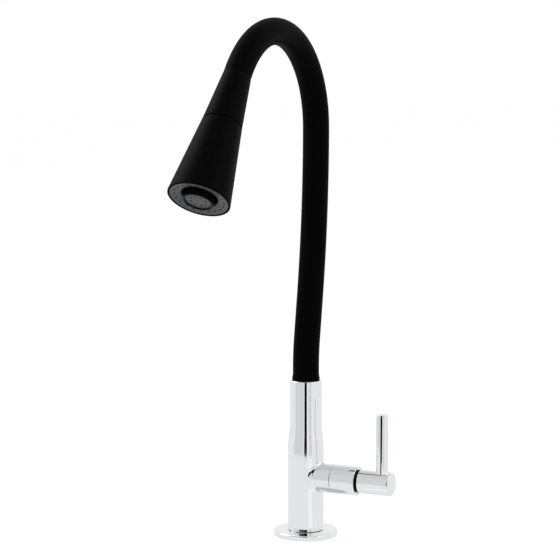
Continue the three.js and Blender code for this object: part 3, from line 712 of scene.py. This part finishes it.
@dataclass
class Column:
    """Chromed column and its side branch, joined by a rolling-ball blend."""

    radius: float = 16.0
    foot: float = 5.3
    top: float = 141.0
    collar_radius: float = 14.25
    flare_start: float = 82.0
    flare_length: float = 18.0
    flare_steps: int = 20
    swivel_socket: float = 10.25
    swivel_floor: float = 112.0
    water_radius: float = 4.0
    shank_socket: float = 10.75
    shank_socket_top: float = 21.0
    branch_radius: float = 13.0
    branch_reach: float = 28.0
    end_radius: float = 10.4
    root_radius: float = 9.0
    root_place: float = 8.0
    blend_radius: float = 3.5
    side_blend_radius: float = 11.0
    branch_facets: int = 128
    blend_steps: int = 12

    def build(self, shelf: FinishShelf) -> list[bpy.types.Object]:
        """Builds and dresses the column.

        Args:
            shelf: Finishes.

        Returns:
            The new pieces.
        """
        pieces = (self.upright(), self.branch())
        return [shelf.fit(piece, POLISHED_CHROME, "column", "body_casting") for piece in pieces]

    def flare(self) -> list[Corner]:
        """Gives the smooth narrowing between the lower column and the collar.

        Returns:
            Its part of the profile.
        """
        points = []
        for step in range(self.flare_steps + 1):
            share = step / self.flare_steps
            drop = (1 - math.cos(share * math.pi)) / 2 * (self.radius - self.collar_radius)
            points.append(Corner(self.radius - drop, self.flare_start + share * self.flare_length))
        return points

    def upright(self) -> bpy.types.Object:
        """Builds the upright column with its swivel socket and its shank socket.

        Returns:
            The column.
        """
        corners = [
            Corner(self.shank_socket, self.foot, 0.2),
            Corner(self.radius, self.foot, 0.5),
            *self.flare(),
            Corner(self.collar_radius, self.top, 0.6),
            Corner(self.swivel_socket, self.top, 0.4),
            Corner(self.swivel_socket, self.swivel_floor),
            Corner(self.water_radius, self.swivel_floor),
            Corner(self.water_radius, self.shank_socket_top),
            Corner(self.shank_socket, self.shank_socket_top),
        ]
        return turned("column_upright", corners, facets=COLUMN_FACETS)

    def blend_point(self, share: float, angle: float) -> Vector:
        """Gives a point of the blend, tight above and below the branch and wide where it leaves the side.

        Args:
            share: 0 on the branch, 1 on the column.
            angle: Place round the branch, in radians.

        Returns:
            The point in metres.
        """
        ball = self.blend_radius + (self.side_blend_radius - self.blend_radius) * math.sin(angle) ** 4
        y = (self.branch_radius + ball) * math.sin(angle)
        z = (self.branch_radius + ball) * math.cos(angle)
        x = math.sqrt((self.radius + ball) ** 2 - y * y)
        to_branch = Vector((0.0, -math.sin(angle), -math.cos(angle)))
        to_column = Vector((-x, -y, 0.0)).normalized()
        point = Vector((x, y, z)) + to_branch.slerp(to_column, share) * ball
        return (point + Vector((0.0, 0.0, BARREL_HEIGHT))) * MM

    def branch_ring(self, radius: float, x: float) -> list[Vector]:
        """Gives a ring round the branch's axis, in metres."""
        return [
            Vector((x, radius * math.sin(angle), radius * math.cos(angle) + BARREL_HEIGHT)) * MM
            for angle in spread_round(self.branch_facets)
        ]

    def branch(self) -> bpy.types.Object:
        """Builds the branch by growing rings from its end face to the column and round the blend.

        Returns:
            The branch.
        """
        rings = [self.branch_ring(self.end_radius, self.branch_reach - behind) for behind in (1.0, 0.0)]
        # How far each ring of the rounded edge lies inside the branch's radius and behind its end.
        for inset, behind in ((0.5, 0.0), (0.27, 0.06), (0.08, 0.22), (0.0, 0.5), (0.0, 2.0)):
            rings.append(self.branch_ring(self.branch_radius - inset, self.branch_reach - behind))
        angles = spread_round(self.branch_facets)
        for step in range(self.blend_steps + 1):
            rings.append([self.blend_point(step / self.blend_steps, angle) for angle in angles])
        rings.append(self.branch_ring(self.root_radius, self.root_place))
        maker = bmesh.new()
        circle = bmesh.ops.create_circle(maker, cap_ends=True, segments=len(angles), radius=1.0)["verts"]
        _, last = grow_rings(maker, circle, rings)
        bmesh.ops.contextual_create(maker, geom=last)
        return make_object("column_branch", maker)


@dataclass
class SideValve:
    """Chromed sleeve over the valve's neck."""

    radius: float = 13.0
    wall: float = 1.15
    start: float = 28.3
    end: float = 51.5
    end_wall: float = 3.0
    end_bore: float = 8.3

    def build(self, shelf: FinishShelf) -> list[bpy.types.Object]:
        """Builds and dresses the sleeve.

        Args:
            shelf: Finishes.

        Returns:
            The new pieces.
        """
        corners = [
            Corner(self.radius, self.start, 0.3),
            Corner(self.radius, self.end, 0.7),
            Corner(self.end_bore, self.end, 0.2),
            Corner(self.end_bore, self.end - self.end_wall),
            Corner(self.radius - self.wall, self.end - self.end_wall),
            Corner(self.radius - self.wall, self.start, 0.1),
        ]
        sleeve = turned("valve_sleeve_turned", corners, BARREL, facets=SHELL_FACETS)
        return [shelf.fit(sleeve, POLISHED_CHROME, "column", "valve_sleeve")]


@dataclass
class Lever:
    """Handle hub, its glide ring and the lever pin."""

    spindle_bore: float = 4.6
    spindle_bore_end: float = 66.6
    glide_radius: float = 10.2
    glide_places: tuple[float, float] = (51.8, 53.3)
    hub_radius: float = 10.5
    hub_start: float = 53.6
    hub_end: float = 84.0
    pin_radius: float = 5.4
    pin_place: float = 73.9
    pin_heights: tuple[float, float] = (4.3, 62.0)

    def build(self, shelf: FinishShelf) -> list[bpy.types.Object]:
        """Builds and dresses the lever.

        Args:
            shelf: Finishes.

        Returns:
            The new pieces.
        """
        glide_corners = ring_corners(self.spindle_bore, self.glide_radius, *self.glide_places, 0.15)
        # The hub's end is rounded at its rim and slightly domed.
        hub_corners = [
            Corner(self.spindle_bore, self.hub_start, 0.2),
            Corner(self.hub_radius, self.hub_start, 0.35),
            Corner(self.hub_radius, self.hub_end - 0.5, 1.7),
            Corner(self.hub_radius - 4.0, self.hub_end - 0.15, 6.0),
            Corner(0.0, self.hub_end),
            Corner(0.0, self.spindle_bore_end),
            Corner(self.spindle_bore, self.spindle_bore_end),
        ]
        pin_corners = rod_corners(self.pin_radius, *self.pin_heights, 0.3, 0.7)
        pin_foot = at_mm(self.pin_place, 0, BARREL_HEIGHT)
        glide = turned("glide_ring_moulded", glide_corners, BARREL)
        hub = turned("handle_hub_turned", hub_corners, BARREL, facets=SHELL_FACETS)
        pin = turned("lever_pin_turned", pin_corners, pin_foot, closed=False)
        return [
            shelf.fit(glide, BLACK_ACETAL, "lever", "glide_ring"),
            shelf.fit(hub, POLISHED_CHROME, "lever", "handle_hub"),
            shelf.fit(pin, POLISHED_CHROME, "lever", "lever_pin"),
        ]


@dataclass(frozen=True)
class HoseWall:
    """One wall of the hose, in lengths.

    Attributes:
        name: Start of its pieces' names.
        finish: Its finish.
        node: CAD node that its pieces replace.
        outer: Outer radius.
        bore: Inner radius.
        start: Distance where its even rings start.
        past: How far it runs on past the hose.
        step: Longest distance between two even rings.
        facets: Facets round it.
        foot: Distance and radius of each ring before the even ones.
    """

    name: str
    finish: Finish
    node: str
    outer: float
    bore: float
    start: float
    past: float
    step: float
    facets: int
    foot: tuple[tuple[float, float], ...] = ()

    def build(self, number: int, start: float, end: float) -> bpy.types.Object:
        """Sweeps one length along the hose's route, out along its outside and back along its bore.

        Args:
            number: Which length it is, from 0.
            start: Distance where its even rings start.
            end: Distance where it ends.

        Returns:
            The new piece.
        """
        count = math.ceil((end - start) / self.step)
        outside = [(start + (end - start) * part / count, self.outer) for part in range(count + 1)]
        if number == 0:
            outside = [*self.foot, *outside]
        inside = [(distance, self.bore) for distance, _ in reversed(outside)]
        maker = bmesh.new()
        circle = bmesh.ops.create_circle(maker, cap_ends=False, segments=self.facets, radius=1.0)["verts"]
        shape = [vert.co.copy() for vert in circle]
        rings = []
        for distance, radius in outside + inside:
            place = ROUTE.place(distance)
            rings.append([place @ (unit * radius * MM) for unit in shape])
        first, last = grow_rings(maker, circle, rings)
        bmesh.ops.bridge_loops(maker, edges=first + last)
        return make_object("%s_%d" % (self.name, number + 1), maker)


@dataclass
class BendableHose:
    """Silicone skin and water tube, each in four lengths that meet midway between the hose's four hinges."""

    walls: tuple[HoseWall, ...] = (
        HoseWall("silicone_skin", SILICONE_SKIN, "silicone_hose", 11.7, 9.5, 6.6, 0.0, 3.0, 56, SKIN_FOOT),
        HoseWall("water_tube", WATER_TUBE_PEX, "water_tube", 6.0, 4.5, 3.8, 15.7, 6.0, 32),
    )
    bend_shares: tuple[float, ...] = (0.19, 0.42, 0.62, 0.82)
    bend_reach: float = 40.0
    bodies: tuple[str, ...] = ("hose_root", "hose_lower", "hose_middle", "hose_upper", "head")

    def build(self, shelf: FinishShelf) -> list[bpy.types.Object]:
        """Builds and dresses the skin and the water tube.

        Args:
            shelf: Finishes.

        Returns:
            The new pieces.
        """
        bends = [share * ROUTE.length for share in self.bend_shares]
        middles = [(a + b) / 2 for a, b in zip(bends, bends[1:])]
        pieces = []
        for number, bend in enumerate(bends):
            start = ROUTE.place(bend - self.bend_reach).translation
            end = ROUTE.place(bend + self.bend_reach).translation
            for wall in self.walls:
                ends = [wall.start, *middles, ROUTE.length + wall.past]
                piece = wall.build(number, ends[number], ends[number + 1])
                shelf.dress(piece, wall.finish)
                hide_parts(wall.node)
                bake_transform(piece)
                pieces.append(piece)
        return pieces


@dataclass
class SprayHead:
    """Neck shell, spray cone, nozzle face and aerator. Places run along the head's axis from the hose."""

    neck_start: float = 0.02
    neck_radius: float = 11.95
    neck_bore: float = 9.3
    neck_floor: float = 22.0
    neck_end: float = 46.6
    lip_radius: float = 15.4
    lip_bore: float = 13.9
    lip_gap: float = 0.15
    seam_place: float = 44.0
    seam_radius: float = 16.5
    cone_start: float = 47.4
    cone_bore: float = 10.6
    shell_wall: float = 2.2
    mouth_place: float = 118.0
    mouth_radius: float = 26.3
    mouth_bore: float = 24.7
    shelf_place: float = 113.1
    face_place: float = 117.4
    plate_back: float = 113.4
    plate_radius: float = 24.4
    plate_rim: float = 1.0
    plate_opening: float = 15.5
    plate_dish: float = 2.3
    nozzle_circle: float = 20.7
    nozzle_count: int = 20
    nozzle_radius: float = 0.75
    nozzle_hole: float = 0.35
    nozzle_height: float = 0.4
    nozzle_facets: int = 16
    housing_radius: float = 16.2
    housing_back: float = 103.9
    housing_floor: float = 106.4
    cup_radius: float = 15.0
    socket_radius: float = 11.8
    socket_bore: float = 10.6
    socket_end: float = 116.9
    stream_radius: float = 4.9
    cap_radius: float = 12.75
    cap_bore: float = 12.1
    cap_back: float = 111.0
    cap_lip: float = 119.5
    cap_lip_bore: float = 11.1
    cap_front: float = 120.4
    disc_radius: float = 11.8
    disc_places: tuple[float, float] = (117.2, 119.2)
    drill_places: tuple[float, float] = (116.0, 120.0)
    jet_circle: float = 6.5
    jet_radius: float = 1.0
    jet_count: int = 8
    jet_facets: int = 24

    def neck_at(self, place: float) -> float:
        """Gives the neck's outer radius at a place along the head."""
        return self.neck_radius + (self.seam_radius - self.neck_radius) * place / self.seam_place

    def cone_at(self, place: float) -> float:
        """Gives the cone's outer radius at a place along the head."""
        share = (place - self.seam_place) / (self.mouth_place - self.seam_place)
        return self.seam_radius + (self.mouth_radius - self.seam_radius) * share

    def build(self, shelf: FinishShelf) -> list[bpy.types.Object]:
        """Builds and dresses the head.

        Args:
            shelf: Finishes.

        Returns:
            The new pieces.
        """
        # A lip of the neck reaches into the cone and shuts the light out of the seam.
        lip_end = self.cone_start - self.lip_gap
        neck = [
            Corner(self.neck_radius, self.neck_start, 0.2),
            Corner(self.seam_radius, self.seam_place),
            Corner(self.cone_at(self.neck_end), self.neck_end, 0.5),
            Corner(self.lip_radius, self.neck_end, 0.05),
            Corner(self.lip_radius, lip_end),
            Corner(self.lip_bore, lip_end),
            Corner(self.neck_at(self.neck_floor) - self.shell_wall, self.neck_floor),
            Corner(self.neck_bore, self.neck_floor),
            Corner(self.neck_bore, self.neck_start, 0.1),
        ]
        cone_floor = self.cone_start + self.shell_wall
        cone = [
            Corner(self.cone_at(self.cone_start), self.cone_start, 0.5),
            Corner(self.cone_at(self.mouth_place), self.mouth_place, 0.8),
            Corner(self.mouth_bore, self.mouth_place, 0.3),
            Corner(self.mouth_bore, self.shelf_place),
            Corner(self.cone_at(self.shelf_place) - self.shell_wall, self.shelf_place),
            Corner(self.cone_at(cone_floor) - self.shell_wall, cone_floor),
            Corner(self.cone_bore, cone_floor),
            Corner(self.cone_bore, self.cone_start),
        ]
        plate = [
            Corner(self.plate_radius, self.plate_back),
            Corner(self.plate_radius, self.face_place, 0.3),
            Corner(self.plate_radius - self.plate_rim, self.face_place, 0.6),
            Corner(self.plate_opening, self.face_place - self.plate_dish, 0.3),
            Corner(self.plate_opening, self.plate_back),
        ]
        housing = [
            Corner(self.housing_radius, self.housing_back),
            Corner(self.housing_radius, self.shelf_place),
            Corner(self.cup_radius, self.shelf_place, 0.2),
            Corner(self.cup_radius, self.housing_floor, 0.4),
            Corner(self.socket_radius, self.housing_floor),
            Corner(self.socket_radius, self.socket_end),
            Corner(self.socket_bore, self.socket_end),
            Corner(self.socket_bore, self.housing_floor),
            Corner(self.stream_radius, self.housing_floor, 0.2),
            Corner(self.stream_radius, self.housing_back),
        ]
        cap = [
            Corner(self.cap_radius, self.cap_back, 0.1),
            Corner(self.cap_radius, self.cap_front, 0.5),
            Corner(self.cap_lip_bore, self.cap_front, 0.25),
            Corner(self.cap_lip_bore, self.cap_lip),
            Corner(self.cap_bore, self.cap_lip),
            Corner(self.cap_bore, self.cap_back, 0.1),
        ]
        plans = (
            ("head_neck_moulded", neck, SHELL_FACETS, SOFT_TOUCH_ABS, "head", "head_neck_shell"),
            ("spray_cone_moulded", cone, SHELL_FACETS, SOFT_TOUCH_ABS, "spray", "spray_cone"),
            ("nozzle_plate_moulded", plate, SHELL_FACETS, GREY_ABS, "spray", "nozzle_plate"),
            ("aerator_housing_moulded", housing, RING_FACETS, BLACK_ACETAL, "spray", "aerator_housing"),
            ("aerator_cap_moulded", cap, SHELL_FACETS, BLACK_ACETAL, "spray", "aerator_cap"),
        )
        pieces = [
            shelf.fit(turned(name, corners, HEAD, facets=facets), finish, body, node)
            for name, corners, facets, finish, body, node in plans
        ]
        pieces.append(shelf.fit(self.nozzles(), NOZZLE_RUBBER, "spray"))
        pieces.append(shelf.fit(self.jet_disc(), GREY_ABS, "spray", "jet_disc"))
        return pieces

    @staticmethod
    def repeated(
        name: str, corners: Sequence[Corner], circle: float, count: int, facets: int, place: Matrix
    ) -> bpy.types.Object:
        """Turns the same small profile at even places on a circle round the head's axis.

        Args:
            name: Name of the joined piece.
            corners: Open profile of one.
            circle: Radius of the circle.
            count: How many there are.
            facets: Facets round each.
            place: Matrix to the object's frame.

        Returns:
            All of them as one piece.
        """
        pieces = []
        for number, angle in enumerate(spread_round(count)):
            spot = place @ Matrix.Rotation(angle, 4, "Z") @ at_mm(circle, 0, 0)
            pieces.append(turned("%s_%02d" % (name, number), corners, spot, closed=False, facets=facets))
        return join_pieces(name, pieces)

    def nozzles(self) -> bpy.types.Object:
        """Builds the ring of soft nozzle nubs, each with its jet hole.

        Returns:
            The nubs as one piece.
        """
        dish_edge = self.plate_radius - self.plate_rim
        slope = self.plate_dish / (dish_edge - self.plate_opening)
        surface = self.face_place - slope * (dish_edge - self.nozzle_circle)
        top, hole_floor, back = surface + self.nozzle_height, surface - 0.6, surface - 1.0
        nub = [
            Corner(self.nozzle_radius, back),
            Corner(self.nozzle_radius, top, 0.15),
            Corner(self.nozzle_hole, top, 0.08),
            Corner(self.nozzle_hole, hole_floor),
            Corner(0.0, hole_floor),
            Corner(0.0, back),
        ]
        count, facets = self.nozzle_count, self.nozzle_facets
        return self.repeated("nozzle_nubs", nub, self.nozzle_circle, count, facets, HEAD)

    def jet_disc(self) -> bpy.types.Object:
        """Builds the disc in the aerator's cap, with its ring of jets cut through.

        Returns:
            The disc.
        """
        blank = rod_corners(self.disc_radius, *self.disc_places, 0.1, 0.2)
        disc = turned("jet_disc_blank", blank, closed=False)
        jet = rod_corners(self.jet_radius, *self.drill_places)
        drills = self.repeated("jet_drills", jet, self.jet_circle, self.jet_count, self.jet_facets, UPRIGHT)
        cut = disc.modifiers.new("jets", "BOOLEAN")
        cut.operation = "DIFFERENCE"
        cut.solver = "EXACT"
        cut.object = drills
        bpy.context.view_layer.update()
        drilled = bmesh.new()
        drilled.from_object(disc, bpy.context.evaluated_depsgraph_get())
        bpy.data.objects.remove(disc)
        bpy.data.objects.remove(drills)
        return make_object("jet_disc_moulded", drilled, HEAD)


class InnerParts:
    """Dresses the CAD nodes that keep their own shape."""

    nodes: dict[Finish, tuple[str, ...]] = {
        NITRILE_RUBBER: (
            "shank_seal", "seat_seal", "spindle_seal", "swivel_seal_lower", "swivel_seal_upper",
            "spigot_seal", "aerator_washer",
        ),
        LAPPED_ALUMINA: ("fixed_ceramic_disc", "moving_ceramic_disc"),
        TURNED_BRASS: ("valve_cartridge", "spindle", "swivel_nipple", "hose_tail"),
        DRAWN_STEEL: (
            "spindle_circlip", "hub_set_screw", "swivel_catch_screw", "lower_crimp", "upper_crimp",
            "armature_1", "armature_2", "armature_3", "armature_4", "armature_5",
            "head_snap_ring", "aerator_screen",
        ),
        WHITE_ACETAL: ("slip_washer", "selector_disc", "spray_waterway"),
    }

    def build(self, shelf: FinishShelf) -> list[bpy.types.Object]:
        """Dresses every node that no new piece replaces.

        Args:
            shelf: Finishes.

        Returns:
            The dressed nodes.
        """
        dressed = []
        for finish, names in self.nodes.items():
            for name in names:
                shelf.dress(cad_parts[name], finish)
                dressed.append(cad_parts[name])
        return dressed


@dataclass(frozen=True)
class Card:
    """One reflecting card of the studio, as a sector round the faucet, in metres.

    Attributes:
        name: Name of the card.
        start: First direction in degrees from the camera's, to the right as the camera sees it.
        end: Last direction. A card that ends where it starts is a flag that points at the column.
        near: Distance of its near edge from the column.
        tone: Grey that it shows, as sRGB hex.
        far: Distance of its far edge.
        tall: Height that its far edge is bent up to.
        low: Height of its lower edge, where it is an upright strip at the far distance.
    """

    name: str
    start: float
    end: float
    near: float
    tone: str
    far: float = 2.6
    tall: float = 2.4
    low: float = 0.0

    def profile(self, foot: float, largest_bend: float) -> list[tuple[float, float]]:
        """Gives its section: an upright strip, or a sheet on the floor that bends up at its far edge.

        Args:
            foot: Height of the sheet.
            largest_bend: Largest radius of the bend.

        Returns:
            Distance and height of each point.
        """
        if self.low > 0:
            return [(self.far, self.low), (self.far, self.tall)]
        bend = min(largest_bend, self.tall)
        points = [(self.near, foot), (self.far - bend, foot)]
        for degrees in range(10, 91, 10):
            step = math.radians(degrees)
            points.append((self.far - bend + bend * math.sin(step), bend - bend * math.cos(step)))
        return [*points, (self.far, self.tall)]


@dataclass(frozen=True)
class SoftBox:
    """A round soft lamp.

    Attributes:
        name: Name of the lamp.
        turn: Direction in degrees from the camera's, to the right as the camera sees it.
        lift: Degrees above the level.
        distance: Distance from where it points, in metres.
        size: Diameter in metres.
        watts: Its power.
    """

    name: str
    turn: float
    lift: float
    distance: float
    size: float
    watts: float


@dataclass
class Studio:
    """Pale floor, white surroundings, soft lamps, cards that only mirrors see, and the camera."""

    azimuth: float = 25.3
    pitch: float = 7.5
    distance: float = 1.98
    focal_pixels: float = 2200.0
    image_pixels: float = 560.0
    origin_right: float = 25.7
    origin_down: float = 254.0
    sensor_width: float = 36.0
    plain_light: float = 0.7
    floor_radius: float = 8.0
    floor_drop_mm: float = 0.15
    floor_glow: float = 0.72
    floor_in_mirrors: float = 0.86
    lamp_aim: tuple[float, float, float] = (0.0, -0.05, 0.2)
    soft_boxes: tuple[SoftBox, ...] = (
        SoftBox("key_softbox", -116.0, 42.0, 1.7, 1.1, 10.0),
        SoftBox("fill_softbox", 75.0, 40.0, 1.9, 1.0, 3.0),
    )
    card_foot: float = 0.001
    card_bend: float = 0.4
    card_steps: int = 24
    cards: tuple[Card, ...] = (
        Card("slit_card", -11.0, 6.0, 0.36, FLAG_BLACK),
        Card("left_card", -80.0, -16.0, 0.36, "D9DADC"),
        Card("right_strip_card", 20.0, 38.0, 0.36, "D8D9DB"),
        Card("near_white_card", 14.0, 38.0, 0.05, "FAFAFB", 0.35, 0.001),
        Card("camera_shade_card", -22.0, 10.0, 1.9, FLAG_BLACK, 1.95, 1.2, 0.44),
        Card("foot_shade_card", -43.0, -22.0, 1.9, FLAG_BLACK, 1.95, 0.54, 0.44),
        Card("pin_flag", -2.5, -2.5, 0.135, FLAG_BLACK, 1.0, 0.12),
    )

    def build(self) -> None:
        """Builds the whole studio."""
        self.paint_world()
        self.lay_floor()
        self.hang_lamps()
        for card in self.cards:
            self.stand_card(card)
        self.place_camera()

    def axes(self) -> tuple[Vector, Vector, Vector]:
        """Gives the camera's right, up and backward directions.

        Returns:
            Three unit vectors.
        """
        turn, lift = math.radians(self.azimuth), math.radians(self.pitch)
        back = Vector((math.sin(turn) * math.cos(lift), -math.cos(turn) * math.cos(lift), math.sin(lift)))
        right = Vector((math.cos(turn), math.sin(turn), 0.0))
        return right, back.cross(right), back

    def place_camera(self) -> None:
        """Places the camera where the photograph's was."""
        right, up, back = self.axes()
        per_pixel = self.distance / self.focal_pixels
        target = -(right * self.origin_right - up * self.origin_down) * per_pixel
        lens = bpy.data.cameras.new("studio_camera")
        lens.sensor_width = self.sensor_width
        lens.lens = self.focal_pixels / self.image_pixels * self.sensor_width
        lens.clip_start = 0.05
        lens.clip_end = 50.0
        camera = link_object("studio_camera", lens)
        rotation = Matrix((right, up, back)).transposed().to_4x4()
        camera.matrix_world = Matrix.Translation(target + back * self.distance) @ rotation
        bpy.context.scene.camera = camera

    @staticmethod
    def split_by_ray(
        tree: bpy.types.NodeTree,
        camera_look: bpy.types.Node,
        mirror_look: bpy.types.Node,
        plain_look: bpy.types.Node,
        output: str,
    ) -> None:
        """Shows one shader to the camera, one to mirrors and one to the other rays.

        Args:
            tree: Node tree that gets the nodes.
            camera_look: Shader for camera and transmission rays.
            mirror_look: Shader for glossy rays.
            plain_look: Shader for the rest.
            output: Blender's identifier of the output node.
        """
        rays = add_node(tree, "ShaderNodeLightPath").outputs
        either = {0: rays["Is Camera Ray"], 1: rays["Is Transmission Ray"]}
        straight = add_node(tree, "ShaderNodeMath", {"operation": "MAXIMUM"}, either)
        looks = {0: rays["Is Glossy Ray"], 1: plain_look.outputs[0], 2: mirror_look.outputs[0]}
        unseen = add_node(tree, "ShaderNodeMixShader", None, looks)
        looks = {0: straight.outputs[0], 1: unseen.outputs[0], 2: camera_look.outputs[0]}
        whole = add_node(tree, "ShaderNodeMixShader", None, looks)
        add_node(tree, output, None, {"Surface": whole.outputs[0]})

    def paint_world(self) -> None:
        """Makes the world white for the camera, a pale room for mirrors, and a soft light for the rest."""
        world = bpy.data.worlds.new("white_surroundings")
        bpy.context.scene.world = world
        world.use_nodes = True
        tree = world.node_tree
        tree.nodes.clear()
        place = add_node(tree, "ShaderNodeTexCoord")
        height = add_node(tree, "ShaderNodeSeparateXYZ", None, {0: place.outputs["Generated"]})
        # Mirrors see the room bright up to 33 degrees above the level, and greyer from 44 degrees up.
        tones = {"From Min": 0.55, "From Max": 0.7, "To Min": 0.9, "To Max": 0.66}
        tone = add_node(tree, "ShaderNodeMapRange", tones, {"Value": height.outputs["Z"]})
        room = add_node(tree, "ShaderNodeBackground", {"Color": WHITE}, {"Strength": tone.outputs[0]})
        light = add_node(tree, "ShaderNodeBackground", {"Color": WHITE, "Strength": self.plain_light})
        white = add_node(tree, "ShaderNodeBackground", {"Color": WHITE, "Strength": 1.0})
        self.split_by_ray(tree, white, room, light, "ShaderNodeOutputWorld")

    def lay_floor(self) -> None:
        """Lays the pale floor, which looks white where it is lit and keeps the faucet's shadow."""
        maker = bmesh.new()
        bmesh.ops.create_circle(maker, cap_ends=True, segments=64, radius=self.floor_radius)
        floor = make_object("studio_floor", maker, at_mm(0, 0, -self.floor_drop_mm))
        material = bare_material("pale_floor")
        tree = material.node_tree
        plain = add_node(tree, "ShaderNodeBsdfDiffuse", {"Color": linear_colour("F0F0F0")})
        glow = add_node(tree, "ShaderNodeEmission", {"Color": WHITE, "Strength": self.floor_glow})
        soft = add_node(tree, "ShaderNodeBsdfDiffuse", {"Color": linear_colour("A8A8A8")})
        shown = add_node(tree, "ShaderNodeAddShader", None, {0: glow.outputs[0], 1: soft.outputs[0]})
        mirrored = add_node(tree, "ShaderNodeEmission", {"Color": WHITE, "Strength": self.floor_in_mirrors})
        self.split_by_ray(tree, shown, mirrored, plain, "ShaderNodeOutputMaterial")
        floor.data.materials.append(material)

    def hang_lamps(self) -> None:
        """Hangs two soft boxes, a strong one on the left, a little behind, and a weak one on the right."""
        right, _, back = self.axes()
        front = Vector((back.x, back.y, 0.0)).normalized()
        for box in self.soft_boxes:
            lamp = bpy.data.lights.new(box.name, "AREA")
            lamp.shape = "DISK"
            lamp.size = box.size
            lamp.energy = box.watts
            side, lift = math.radians(box.turn), math.radians(box.lift)
            level = front * math.cos(side) + right * math.sin(side)
            away = level * math.cos(lift) + Vector((0, 0, math.sin(lift)))
            place = Matrix.Translation(Vector(self.lamp_aim) + away * box.distance)
            holder = link_object(box.name, lamp)
            holder.matrix_world = place @ away.to_track_quat("Z", "Y").to_matrix().to_4x4()

    def stand_card(self, card: Card) -> None:
        """Stands one card round the faucet, seen by mirrors only.

        Args:
            card: Its directions, edges and tone.
        """
        maker = bmesh.new()
        turn = Matrix.Rotation(math.radians(self.azimuth - 90 + card.start), 3, "Z")
        if card.end > card.start:
            profile = card.profile(self.card_foot, self.card_bend)
            points = [maker.verts.new(turn @ Vector((radius, 0.0, height))) for radius, height in profile]
            edges = [maker.edges.new(pair) for pair in zip(points, points[1:])]
            bmesh.ops.spin(
                maker,
                geom=points + edges,
                cent=(0, 0, 0),
                axis=(0, 0, 1),
                angle=math.radians(card.end - card.start),
                steps=self.card_steps,
                use_merge=False,
                use_duplicate=False,
            )
        else:
            ends = (card.near, card.far)
            foot = [maker.verts.new(turn @ Vector((radius, 0.0, self.card_foot))) for radius in ends]
            grown = bmesh.ops.extrude_edge_only(maker, edges=[maker.edges.new(foot)])["geom"]
            raised = [item for item in grown if isinstance(item, bmesh.types.BMVert)]
            bmesh.ops.translate(maker, verts=raised, vec=(0, 0, card.tall))
        mesh = bpy.data.meshes.new(card.name)
        maker.to_mesh(mesh)
        maker.free()
        material = bare_material(card.name)
        glow = {"Color": linear_colour(card.tone), "Strength": 1.0}
        tone = add_node(material.node_tree, "ShaderNodeEmission", glow)
        add_node(material.node_tree, "ShaderNodeOutputMaterial", None, {"Surface": tone.outputs[0]})
        mesh.materials.append(material)
        stood = link_object(card.name, mesh)
        stood.visible_camera = False
        stood.visible_diffuse = False
        stood.visible_shadow = False
        stood.visible_transmission = False
        stood.visible_volume_scatter = False


def report(group: str, pieces: Iterable[bpy.types.Object]) -> None:
    """Logs the pieces of one group."""
    for piece in pieces:
        LOG.info("%s: %s, %d faces", group, piece.name, len(piece.data.polygons))


def main() -> None:
    """Builds the studio and every sub-assembly, in order."""
    logging.basicConfig(level=logging.INFO, format="%(name)s %(message)s")
    bpy.context.scene.view_settings.view_transform = "Standard"
    Studio().build()
    shelf = FinishShelf()
    report("deck", DeckSeat().build(shelf))
    report("column", Column().build(shelf))
    report("valve", SideValve().build(shelf))
    report("lever", Lever().build(shelf))
    report("hose", BendableHose().build(shelf))
    report("head", SprayHead().build(shelf))
    report("inside", InnerParts().build(shelf))


if __name__ == "__main__":
    main()
